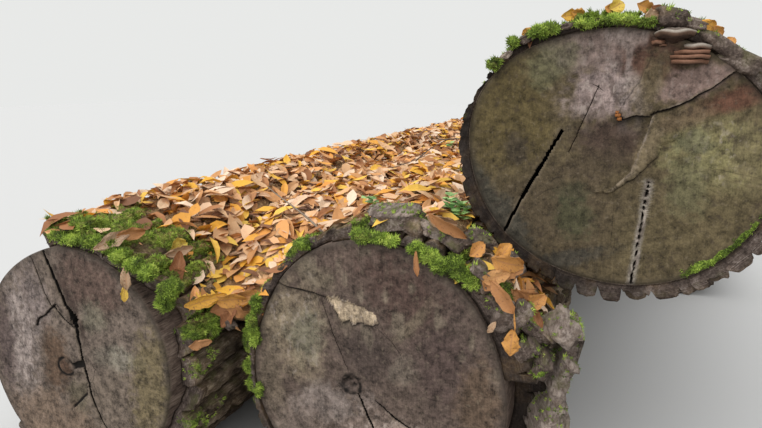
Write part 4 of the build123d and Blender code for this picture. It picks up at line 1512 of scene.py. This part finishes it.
def bracket(width, reach, thick, blunt, seed):
    """Points, faces, growth zone and underside of a shelf that stands out towards -y.

    Blunt is the share of its thickness that is left at the rim."""
    draw = Random(seed)
    phases = [draw.uniform(0, 2 * pi) for _ in range(3)]
    angle = np.radians(np.linspace(-14, 194, bracket_turns))[:, None]
    out = np.linspace(0.08, 1, bracket_profile)
    wave = 1 + 0.05 * np.sin(3 * angle + phases[0]) + 0.035 * np.sin(7 * angle + phases[1])
    upper = thick * (0.25 * (1 - out**2) + 0.04 * np.sin(26 * out))
    upper = upper + 0.06 * thick * np.sin(4 * angle + phases[2]) * out
    lower = upper - thick * (blunt + (1 - blunt) * (1 - out) ** 0.8)
    share = np.concatenate([out, 0.965 * out[::-1]])
    points = xyz(width / 2 * share * np.cos(angle) * wave, -reach * share * np.sin(angle) * wave,
                 np.concatenate([upper, lower[:, ::-1]], axis=1))
    zone = np.concatenate([out, out[::-1]]) + 0 * angle
    under = np.repeat((0, 1), bracket_profile) + 0 * angle
    columns = 2 * bracket_profile
    last = (bracket_turns - 1) * columns
    faces = strips(bracket_turns, columns)
    faces += [tuple(range(columns)), tuple(range(last, last + columns))[::-1]]
    return points.reshape(-1, 3), faces, zone.ravel(), under.ravel()


def fungus_finish(name):
    """Growth zones in the colours of a bracket's kind, and a dark underside with a paler rim."""
    finish = Finish(name)
    zone, under, kind = finish.mark("zone"), finish.mark("under"), finish.mark("kind")
    fine = finish.noise(0.004, 4)
    broad = finish.noise(0.02, 3)
    band = (zone + (broad - 0.5) * 0.25).clamped()
    grey = finish.ramp(band, (0.0, (0.08, 0.056, 0.04)), (0.3, (0.26, 0.215, 0.175)),
                       (0.55, (0.11, 0.08, 0.062)), (0.75, (0.27, 0.225, 0.185)),
                       (0.93, (0.33, 0.29, 0.24)))
    red = finish.ramp(band, (0.0, (0.03, 0.014, 0.009)), (0.45, (0.085, 0.034, 0.02)),
                      (0.7, (0.14, 0.06, 0.034)), (0.9, (0.24, 0.115, 0.068)))
    orange = finish.ramp(band, (0.0, (0.07, 0.024, 0.01)), (1.0, (0.3, 0.11, 0.028)))
    upper = finish.mix(kind.fade(0.2, 0.4), grey, red)
    lower = finish.mix(band.fade(0.75, 1.0), (0.05, 0.026, 0.018), (0.15, 0.08, 0.05))
    colour = finish.mix(kind.fade(0.7, 0.9), finish.mix(under * 0.9, upper, lower), orange)
    colour = finish.shaded(colour, 0.4 + fine * 0.7 + broad * 0.5)
    return finish.finished(colour, 0.8 - fine * 0.15, fine + broad, 0.6, 0.0015, Specular_IOR_Level=0.3)


fungus_material = fungus_finish("bracket_fungus")
face_y = top.front + 0.004  # the foot of a bracket is this far inside the face
brackets = {  # x, z, width, reach and thickness in mm, bluntness and kind (0 grey, 0.5 red, 1 orange)
    ("fungus_shelf_upper", "fungus_upper"): [
        (826, 1676, 108, 62, 46, 0.12, 0), (786, 1652, 36, 24, 22, 0.3, 0.5),
        (798, 1643, 24, 16, 14, 0.3, 0.5)],
    ("fungus_shelves_lower", "fungus_lower"): [
        (888, 1639, 74, 50, 26, 0.35, 0), (878, 1624, 94, 54, 15.5, 0.6, 0.5),
        (874, 1611, 102, 60, 15, 0.6, 0.5), (870, 1598, 98, 56, 16, 0.6, 0.5)],
    ("fungus_small", None): [
        (691, 1450, 10, 8, 10, 0.5, 1), (694, 1442, 17, 12, 13, 0.5, 1), (699, 1431, 14, 12, 13, 0.5, 1)],
}
seed = 0
for (name, node), rows in brackets.items():
    heap = Heap()
    for *lengths, blunt, kind in rows:
        x, z, width, reach, thick = np.array(lengths) * mm
        seed += 1
        points, faces, zone, under = bracket(width, reach, thick, blunt, seed)
        heap.add(points, faces, (x, face_y, z), zone=zone, under=under, kind=kind)
    heap.piece(name, "fungus", fungus_material, node)

# %% [markdown]
# ### Loose chunks of bark
# A chunk is a squared-off block, flattened and torn: steps across its thickness show the bark's layers.
# It wears the same finish as the bark, so it carries the same named values. Moss cushions are rounder
# chunks, marked as moss all over, with tufts sown on them.

# %% Loose chunks of bark
chunk_rows, chunk_columns = 12, 18


def chunk(size, seed, boxy=0.55, torn=1.0):
    """Points and faces of a block of about the given size: boxy below 1 squares it, torn steps its edge."""
    rise = np.linspace(-pi / 2, pi / 2, chunk_rows)[1:-1, None]
    turn = np.linspace(0, 2 * pi, chunk_columns, endpoint=False)
    ball = xyz(np.cos(rise) * np.cos(turn), np.cos(rise) * np.sin(turn), np.sin(rise)).reshape(-1, 3)
    ball = np.concatenate([ball, [(0, 0, -1), (0, 0, 1)]])
    blocky = np.sign(ball) * np.abs(ball) ** boxy
    blocky = blocky * (1 + 0.3 * layered(ball + seed * 3.7, 0.9, seed, 3))[:, None]
    steps = np.floor(blocky[:, 2] * 3 + 0.6 * noise(ball, 0.8, seed + 1))
    blocky[:, :2] *= (1 + 0.16 * torn * np.sin(steps * 2.4 + seed))[:, None]
    blocky[:, 0] += 0.25 * torn * blocky[:, 2] * sin(seed)
    faces = strips(chunk_rows - 2, chunk_columns)
    low, high, last = len(ball) - 2, len(ball) - 1, (chunk_rows - 3) * chunk_columns
    for c, n in neighbours(chunk_columns):
        faces += [(n, c, low), (last + c, last + n, high)]
    return blocky * np.array(size) / 2, faces


# %% Where chunks and cushions lie
chunks = [  # the place and size of each in mm, and its turn
    (65, 70, 1120, 170, 140, 60, 8, -4, 10), (125, 60, 1105, 120, 100, 52, -8, 14, -18),
    (205, 50, 1085, 110, 80, 34, 10, 26, 24), (262, 60, 1065, 90, 120, 34, -6, 34, -8),
    (320, 170, 1050, 80, 120, 36, 8, 20, 36), (400, 200, 960, 90, 110, 36, 4, 44, -24),
    (352, 10, 1000, 60, 90, 26, 10, 34, 20), (372, 10, 950, 45, 60, 28, -12, 50, -30),
    (395, 6, 905, 62, 50, 30, 5, 20, 40), (424, 12, 862, 52, 60, 110, 14, 24, 10),
    (466, 30, 866, 46, 80, 105, -10, 32, 25), (505, 90, 820, 130, 140, 40, 8, 40, 15),
    (492, 30, 762, 60, 100, 75, -14, 52, -10), (536, 60, 708, 75, 110, 85, 6, 52, 12),
    (818, 318, 1716, 95, 70, 58, 4, 10, 8), (880, 312, 1694, 60, 50, 34, -6, 18, -12),
    (955, 305, 1636, 130, 60, 44, 6, 36, 10), (1010, 308, 1594, 110, 60, 56, -8, 30, -14),
    (-556, 0, 705, 30, 130, 28, 14, 10, 60), (405, 312, 1668, 48, 60, 26, 4, -30, 10),
    (346, 312, 1618, 36, 50, 20, -6, -44, 30), (520, 312, 1700, 70, 60, 20, 6, -14, -8),
    (455, 320, 1690, 40, 60, 22, -4, -24, 16),
]
slabs = [  # the same for the torn slab of bark beside the middle log, in pieces
    (585, 120, 812, 60, 150, 85, 4, 30, 24), (606, 190, 735, 40, 200, 130, -4, 12, 10),
    (588, 120, 672, 46, 150, 120, 6, 28, 26), (572, 180, 590, 50, 220, 150, -3, 20, 12),
    (548, 100, 510, 44, 160, 130, 5, 32, 24), (566, 220, 440, 60, 200, 150, 0, 12, 14),
]
cushions = [  # for each log: place on its face, size, and how far in front of the face, in mm
    (top, [
        (-380, 284, 40, 50, 26, 0), (-368, 300, 26, 30, 16, 0), (-317, 352, 32, 50, 26, 0),
        (-240, 382, 56, 60, 36, 0), (-204, 392, 46, 50, 28, 0), (-104, 402, 74, 50, 18, 0),
        (-30, 412, 70, 50, 24, 0), (16, 410, 50, 50, 22, 0), (60, 402, 56, 50, 20, 0),
    ]),
    (middle, [
        (-20, 508, 70, 50, 40, 10), (34, 510, 70, 50, 34, 10), (80, 504, 40, 50, 24, 10),
        (160, 488, 50, 40, 36, 12), (196, 470, 70, 50, 44, 14), (238, 448, 66, 50, 50, 14),
        (278, 450, 50, 50, 50, 4), (296, 424, 56, 50, 46, 6), (336, 402, 50, 40, 40, 8),
        (-235, 459, 60, 50, 30, 0), (-424, 225, 30, 50, 70, 0), (-443, 150, 34, 50, 80, 0),
        (-436, 90, 28, 50, 50, 0), (-433, -109, 24, 40, 50, 0), (536, 140, 50, 50, 30, -20),
    ]),
    (left, [
        (446, 346, 60, 90, 60, -30), (432, 300, 50, 70, 50, -20), (-12, 496, 50, 60, 36, -10),
        (30, 492, 60, 60, 34, 0), (76, 486, 60, 60, 34, 0), (160, 486, 70, 60, 40, 0),
        (228, 478, 70, 60, 44, 0), (276, 450, 60, 60, 44, 0), (330, 424, 70, 60, 44, 0),
        (384, 404, 60, 60, 44, 0),
    ]),
]

# %% Heap them up
whole = {"crack": 0, "leafy": 0, "wet": 0}
heap = Heap()
for i, row in enumerate(chunks + slabs):
    place, size, turn = np.array(row[:3]) * mm, np.array(row[3:6]) * mm, row[6:]
    is_slab = i >= len(chunks)
    points, faces = chunk(size, 60 + i, 0.38 if is_slab else 0.55, 1.5 if is_slab else 1.0)
    moss = 0.12 * fade(points @ turn_matrix(turn)[2], 0.0, 0.01)
    block = 1.2 if is_slab else Random(i).random()
    heap.add(points, faces, place, turn, rise=0.85, block=block, broken=0.9, moss=moss, **whole)
for i, (log, row) in enumerate((log, row) for log, rows in cushions for row in rows):
    x, z, *size, before = np.array(row) * mm
    points, faces = chunk(size, 160 + i, 0.9, 0.0)
    place = (log.wood.centre[0] + x, log.front - before, log.wood.centre[1] + z)
    heap.add(points, faces, place, rise=0.9, block=0.5, broken=0, moss=1.0, **whole)
loose_bark = heap.piece("loose_bark", "bark", bark_material)
sow("moss_loose", loose_bark, "moss", Density=9000.0, Seed=23, **moss_settings)

# %% [markdown]
# ### Leaves that hang, seedlings and twigs
# The sown leaves lie flat. The ones that catch the eye don't: they have curled, and they hang over the
# edges. They are placed one by one. Each is a thin folded sheet with a ragged outline, and their finish
# also draws veins.

# %% Hanging and curled leaves
leaf_rows, leaf_columns = 11, 7


def sheet(length, width, curl, fold, twist, seed):
    """A thin closed leaf with a ragged outline: points, faces, and where each point is across and along."""
    side, share = np.meshgrid(np.linspace(-1, 1, leaf_columns), np.linspace(0.02, 0.98, leaf_rows))
    space = xyz(share * 3, side, 0)
    half = width / 2 * np.sin(pi * share**0.85) ** 0.7 * (1 + 0.22 * noise(space * (2, 0.4, 1), 0.5, seed))
    across = half * side
    level = -curl * (2 * share - 1) ** 2 * length + fold * half * np.abs(side) ** 1.4
    level = level + 0.1 * width * noise(space, 0.8, seed + 1)
    level = level + 0.16 * width * side**2 * noise(space * (1, 3, 1), 0.6, seed + 2)
    turn = twist * 1.6 * (share - 0.5)
    lengthways = length * (share - 0.5) + 0.03 * length * side**2
    upper = xyz(across * np.cos(turn) - level * np.sin(turn), lengthways,
                across * np.sin(turn) + level * np.cos(turn)).reshape(-1, 3)
    count = len(upper)
    points = np.concatenate([upper, upper - (0, 0, 2 * leaf_thickness)])
    faces = strips(leaf_rows, leaf_columns, 0, closed=False)
    faces += strips(leaf_rows, leaf_columns, count, closed=False, flip=True)
    rim = rim_of(leaf_rows, leaf_columns)
    faces += [(b, a, count + a, count + b) for a, b in zip(rim, rim[1:] + rim[:1])]
    return points, faces, np.tile(np.abs(side).ravel(), 2), np.tile(share.ravel(), 2)


# %% Where the leaves hang
hanging = [  # place, length and width in mm, curl, fold, twist, turn and tone
    (431, 30, 1018, 120, 56, 0.1, 0.5, 0.5, 50, 112, 0, 0.78),
    (440, 50, 996, 100, 50, 0.12, 0.5, -0.5, 40, 60, 0, 0.3),
    (410, 50, 1040, 80, 46, 0.1, 0.5, 0.4, 60, 30, 0, 0.8),
    (402, -10, 985, 90, 42, 0.08, 0.4, 0.4, 60, 77, 0, 0.75),
    (385, -14, 968, 60, 36, 0.08, 0.4, 0.4, 70, 20, 0, 0.3),
    (428, -30, 931, 115, 44, 0.06, 0.4, 0.3, 84, -38, 10, 0.29),
    (484, 70, 910, 110, 54, 0.1, 0.5, 0.5, 56, 111, 0, 0.28),
    (500, 76, 890, 90, 50, 0.08, 0.5, -0.5, 70, 60, 0, 0.77),
    (470, 60, 900, 80, 46, 0.08, 0.5, 0.5, 70, 150, 0, 0.24),
    (515, 50, 851, 95, 36, 0.06, 0.4, 0.4, 80, -25, 10, 0.14),
    (344, 0, 1060, 60, 40, 0.1, 0.5, 0.4, 50, 40, 0, 0.78),
    (253, 0, 1118, 150, 34, 0.06, 0.5, 0.3, 60, 128, 0, 0.3),
    (230, 30, 1126, 110, 40, 0.06, 0.5, 0.3, 50, 110, 0, 0.46),
    (172, -46, 1008, 80, 18, 0.03, 0.3, 0.3, 88, -6, 0, 0.25),
    (400, -30, 835, 45, 20, 0.1, 0.4, 0.4, 84, 30, 0, 0.5),
    (462, -50, 806, 82, 50, 0.02, 0.15, 0.1, 86, 4, 0, 0.79),
    (468, -48, 870, 60, 5, 0.02, 0.1, 0.1, 88, -6, 0, 0.79),
    (-775, -226, 905, 90, 34, 0.03, 0.4, 0.4, 84, 0, 30, 0.5),
    (-782, -232, 850, 60, 24, 0.03, 0.4, 0.3, 86, 6, 30, 0.93),
    (-700, -60, 895, 125, 48, 0.05, 0.5, 0.4, 76, 8, 30, 0.14),
    (-778, 40, 940, 80, 60, 0.08, 0.4, 0.4, 50, 60, 30, 0.97),
    (-750, 10, 935, 110, 34, 0.08, 0.5, 0.5, 50, 80, 20, 0.5),
    (-845, -200, 1020, 140, 46, 0.03, 0.4, 0.4, 40, 66, 20, 0.56),
    (-820, -140, 1030, 110, 42, 0.06, 0.4, 0.4, 30, 90, 10, 0.3),
    (-578, -80, 800, 150, 46, 0.03, 0.3, 0.3, 60, 82, 20, 0.86),
    (-520, -20, 790, 120, 54, 0.06, 0.4, 0.4, 50, 100, 0, 0.8),
    (-545, -10, 765, 130, 50, 0.08, 0.5, 0.5, 70, 60, 10, 0.18),
    (-500, 0, 745, 110, 46, 0.08, 0.5, -0.5, 60, 120, 0, 0.3),
    (-490, 20, 790, 130, 50, 0.06, 0.4, 0.4, 50, 80, 0, 0.76),
    (-530, -20, 725, 100, 44, 0.08, 0.5, 0.5, 70, 30, 0, 0.12),
    (-572, -130, 662, 80, 36, 0.04, 0.3, 0.3, 60, 86, 20, 0.32),
    (538, 300, 1733, 60, 34, 0.06, 0.4, 0.3, 55, 80, 0, 0.9),
    (560, 310, 1738, 50, 32, 0.06, 0.4, 0.3, 45, 100, 0, 0.82),
    (666, 310, 1757, 46, 44, 0.1, 0.5, 0.3, 70, 60, 0, 0.95),
    (652, 315, 1750, 40, 30, 0.08, 0.4, 0.3, 60, 90, 0, 0.8),
    (745, 310, 1750, 56, 34, 0.08, 0.5, 0.3, 65, 110, 0, 0.8),
    (763, 292, 1724, 46, 36, 0.06, 0.4, 0.3, 70, 70, 0, 0.52),
    (775, 305, 1742, 36, 26, 0.08, 0.4, 0.3, 60, 120, 0, 0.14),
    (915, 300, 1692, 56, 30, 0.08, 0.5, 0.3, 66, 118, 0, 0.84),
    (938, 300, 1676, 40, 28, 0.08, 0.5, 0.3, 66, 140, 0, 0.79),
    (970, 295, 1646, 36, 30, 0.1, 0.5, 0.4, 70, 20, 0, 0.79),
    (410, 300, 1690, 40, 24, 0.06, 0.4, 0.3, 60, 50, 0, 0.82),
]
single_stops = ((0.0, (0.11, 0.042, 0.018)), (0.14, (0.22, 0.084, 0.03)), (0.3, (0.36, 0.162, 0.056)),
                (0.48, (0.36, 0.235, 0.14)), (0.62, (0.45, 0.31, 0.21)), (0.78, (0.45, 0.205, 0.048)),
                (0.88, (0.59, 0.31, 0.03)), (1.0, (0.48, 0.42, 0.075)))
heap = Heap()
for i, row in enumerate(hanging):
    *place, length, width = np.array(row[:5]) * mm
    points, faces, rib, vein = sheet(length, width, *row[5:8], 300 + 3 * i)
    heap.add(points, faces, place, row[8:11], tone=row[11], rib=rib, vein=vein)
heap.piece("leaves_single", "leaves", leaf_finish("single_leaves", single_stops, 1.0), smooth=False)

# %% Seedlings
seedlings = [(0.17, 0.36, 1.11), (0.205, 0.34, 1.095), (0.18, 0.32, 1.075), (0.222, 0.33, 1.08),
             (0.215, 0.3, 1.06), (-0.091, 0.241, 1.1), (-0.43, 2.6, 1.05)]
leaves_each = 7


def plain_finish(name, dark, pale, size):
    """A simple finish between two colours, for green leaves and twigs."""
    finish = Finish(name)
    colour = finish.ramp(finish.noise(size, 3) * 0.7 + finish.mark("tone") * 0.3, (0.3, dark), (0.7, pale))
    return finish.finished(colour, 0.6, finish.noise(size / 3, 3), 0.3, 0.001)


heap, draw = Heap(), Random(12)
green_form = leaf_form(0.036, 0.034, 0.06, 0.15, 0.2)
for place in seedlings:
    for i in range(leaves_each):
        turn, out = 360 * i / leaves_each + draw.uniform(-20, 20), draw.uniform(0.01, 0.028)
        out_x, out_y = out * sin(radians(-turn)), out * cos(radians(turn))
        spot = np.array(place) + (out_x, out_y, draw.uniform(0.012, 0.045))
        heap.add(*green_form, spot, (draw.uniform(0, 30), draw.uniform(-15, 15), turn), tone=draw.random())
green = plain_finish("green_leaves", (0.09, 0.23, 0.05), (0.42, 0.6, 0.22), 0.02)
heap.piece("seedlings", "leaves", green, smooth=False)

# %% Twigs
heap, draw = Heap(), Random(44)
twig_count, twig_bends, twig_sides = 26, 7, 5
share = np.linspace(-0.5, 0.5, twig_bends)[:, None]
side = np.linspace(0, 2 * pi, twig_sides, endpoint=False)
for i in range(twig_count):
    length, thick = draw.uniform(0.18, 0.5), draw.uniform(0.003, 0.006)
    phase, bend = draw.uniform(0, 6), draw.uniform(0.02, 0.08)
    girth = thick * (1.05 - (share + 0.5) * 0.6)
    points = xyz(length * share, bend * length * np.sin(4 * share + phase) + girth * np.cos(side),
                 0.4 * bend * length * np.cos(5 * share + phase) + girth * np.sin(side)).reshape(-1, 3)
    faces = strips(twig_bends, twig_sides) + [tuple(range(twig_sides))[::-1]]
    faces.append(tuple(range((twig_bends - 1) * twig_sides, twig_bends * twig_sides)))
    y, x = draw.uniform(0.15, 5.2), draw.uniform(-0.8, -0.25)
    z = 0.8 + 0.3 * fade(x, -0.75, -0.3) + draw.uniform(0.0, 0.03) + 0.02 * (y > 0.7)
    heap.add(points, faces, (x, y, z), (0, draw.uniform(-14, 6), draw.uniform(0, 180)), tone=draw.random())
heap.piece("twigs", "bark", plain_finish("twig_bark", (0.06, 0.04, 0.028), (0.26, 0.19, 0.13), 0.03))

# %% [markdown]
# ## Floor and light
# The stack stands on a plain pale floor under an even, overcast sort of light: the world from all
# round, and one very broad lamp above and in front. To the camera the floor and the world are plain
# pale colours, and the floor keeps the stack's shadow.

# %% Floor, world and lamps
floor_half = 30.0
pale = (0.807, 0.815, 0.803)
world_strength = 0.74
sky_strength = 2.8
sky_spread = 100
sky_turn = (-38, -12)

corners = [(x * floor_half, y * floor_half, 0) for x, y in ((-1, -1), (1, -1), (1, 1), (-1, 1))]
floor = make_piece("floor", corners, [(0, 1, 2, 3)])
floor_finish = Finish("pale_floor")
seen = floor_finish.node("ShaderNodeLightPath", output="Is Camera Ray")
floor_colour = floor_finish.mix(seen, (0.36, 0.35, 0.33), (0.592, 0.583, 0.567))
floor.data.materials.append(floor_finish.finished(floor_colour, 0.9, Specular_IOR_Level=0.0))

world = bpy.data.worlds.new("overcast")
bpy.context.scene.world = world
world.use_nodes = True
sky = Tree(world.node_tree.nodes, world.node_tree.links)
sky.nodes.clear()
camera_ray, glossy_ray, clear_ray = [sky.node("ShaderNodeLightPath", output=f"Is {kind} Ray")
                                     for kind in ("Camera", "Glossy", "Transmission")]
seen = (camera_ray + glossy_ray + clear_ray).clamped()
lit = sky.node("ShaderNodeBackground", {}, {"Color": (0.93, 0.97, 1.0), "Strength": world_strength})
plain = sky.node("ShaderNodeBackground", {}, {"Color": pale, "Strength": 1.0})
surface = sky.node("ShaderNodeMixShader", {}, {0: seen, 1: lit, 2: plain})
world_end = sky.nodes.new("ShaderNodeOutputWorld")
sky.links.new(surface.socket, world_end.inputs["Surface"])

lamp = bpy.data.lights.new("sky_lamp", "SUN")
lamp.energy, lamp.angle = sky_strength, radians(sky_spread)
lamp_holder = bpy.data.objects.new("sky_lamp", lamp)
lamp_holder.rotation_euler = (radians(-sky_turn[0]), radians(sky_turn[1]), 0)
bpy.context.scene.collection.objects.link(lamp_holder)
bpy.context.scene.view_settings.view_transform = "Standard"
print("lamps", [light.name for light in bpy.data.lights])
